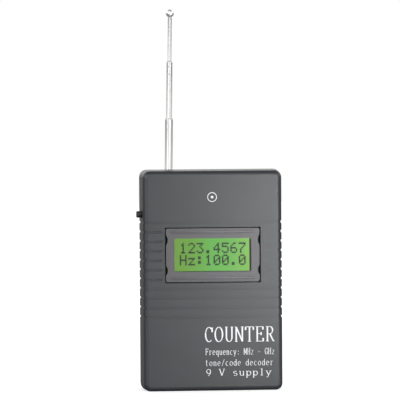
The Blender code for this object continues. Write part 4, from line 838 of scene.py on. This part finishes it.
def make_world():
    """A studio: white overhead and straight behind, grey around the sides, seen as plain white."""
    world = bpy.data.worlds.new("studio")
    bpy.context.scene.world = world
    world.use_nodes = True
    tree = world.node_tree
    coordinates = tree.nodes.new("ShaderNodeTexCoord")
    turn = tree.nodes.new("ShaderNodeMapping")
    turn.inputs["Rotation"].default_value = (0.0, 0.0, CAMERA_YAW)
    split = tree.nodes.new("ShaderNodeSeparateXYZ")
    around = tree.nodes.new("ShaderNodeMapRange")
    around.inputs["From Min"].default_value = -1.0
    brighter = tree.nodes.new("ShaderNodeMath")
    brighter.operation = "MAXIMUM"
    seen = tree.nodes.new("ShaderNodeLightPath")
    shown = tree.nodes.new("ShaderNodeMath")
    shown.operation = "MAXIMUM"
    tree.links.new(coordinates.outputs["Generated"], turn.inputs["Vector"])
    tree.links.new(turn.outputs["Vector"], split.inputs["Vector"])
    tree.links.new(split.outputs["Y"], around.inputs["Value"])
    for value, levels, socket in ((around.outputs["Result"], ROOM_LEVELS, brighter.inputs[0]),
                                  (split.outputs["Z"], OVERHEAD_LEVELS, brighter.inputs[1])):
        ramp = tree.nodes.new("ShaderNodeValToRGB")
        elements = ramp.color_ramp.elements
        while len(elements) < len(levels):
            elements.new(0.5)
        for element, (position, level) in zip(elements, levels):
            element.position = position
            element.color = (level, level, level, 1.0)
        tree.links.new(value, ramp.inputs["Fac"])
        tree.links.new(ramp.outputs["Color"], socket)
    tree.links.new(brighter.outputs["Value"], shown.inputs[0])
    tree.links.new(seen.outputs["Is Camera Ray"], shown.inputs[1])
    tree.links.new(shown.outputs["Value"], tree.nodes["Background"].inputs["Color"])


def add_light(name, azimuth, elevation, distance, size, energy, receivers):
    """A soft rectangular light, placed by its angles from the camera's side of the case."""
    data = bpy.data.lights.new(name, "AREA")
    data.shape = "RECTANGLE"
    data.size, data.size_y = size
    data.energy = energy
    light = link(name, data)
    azimuth, elevation = math.radians(azimuth) - CAMERA_YAW, math.radians(elevation)
    towards = Vector((math.sin(azimuth) * math.cos(elevation),
                      -math.cos(azimuth) * math.cos(elevation), math.sin(elevation)))
    light.location = LIGHT_AIM + towards * distance
    light.rotation_euler = (-towards).to_track_quat("-Z", "Y").to_euler()
    light.visible_camera = False
    light.light_linking.receiver_collection = receivers
    light.light_linking.blocker_collection = receivers


def make_lights():
    """Two soft boxes for the object: a near one at the upper right and a far one at the left."""
    receivers = bpy.data.collections.new("lit by soft boxes")
    for piece in bpy.context.scene.objects:
        if piece.type == "MESH" and piece.name != "floor":
            receivers.objects.link(piece)
    for light in LIGHTS:
        add_light(*light, receivers)


def make_camera():
    """The camera, a little left of the face's normal and above it."""
    data = bpy.data.cameras.new("camera")
    data.lens = CAMERA_LENS
    data.clip_end = 50.0
    camera = bpy.data.objects.new("camera", data)
    bpy.context.scene.collection.objects.link(camera)
    level = math.cos(CAMERA_ELEVATION)
    back = Vector((-math.sin(CAMERA_YAW) * level, -math.cos(CAMERA_YAW) * level,
                   math.sin(CAMERA_ELEVATION)))
    camera.location = AIM_OBJECT + back * CAMERA_DISTANCE
    forward = CAMERA_TARGET - camera.location
    look = forward.to_track_quat("-Z", "Y").to_matrix()
    camera.rotation_euler = (look @ Matrix.Rotation(-CAMERA_ROLL, 3, "Z")).to_euler()
    bpy.context.scene.camera = camera


# ---------------------------------------------------------------- assembly

def main():
    """Builds everything that shows."""
    bpy.context.scene.view_settings.view_transform = "Standard"
    materials = make_materials()
    make_case(materials)
    make_inner_pieces(materials)
    make_display(materials)
    make_antenna(materials)
    make_print(materials)
    make_floor()
    make_world()
    make_lights()
    make_camera()


main()
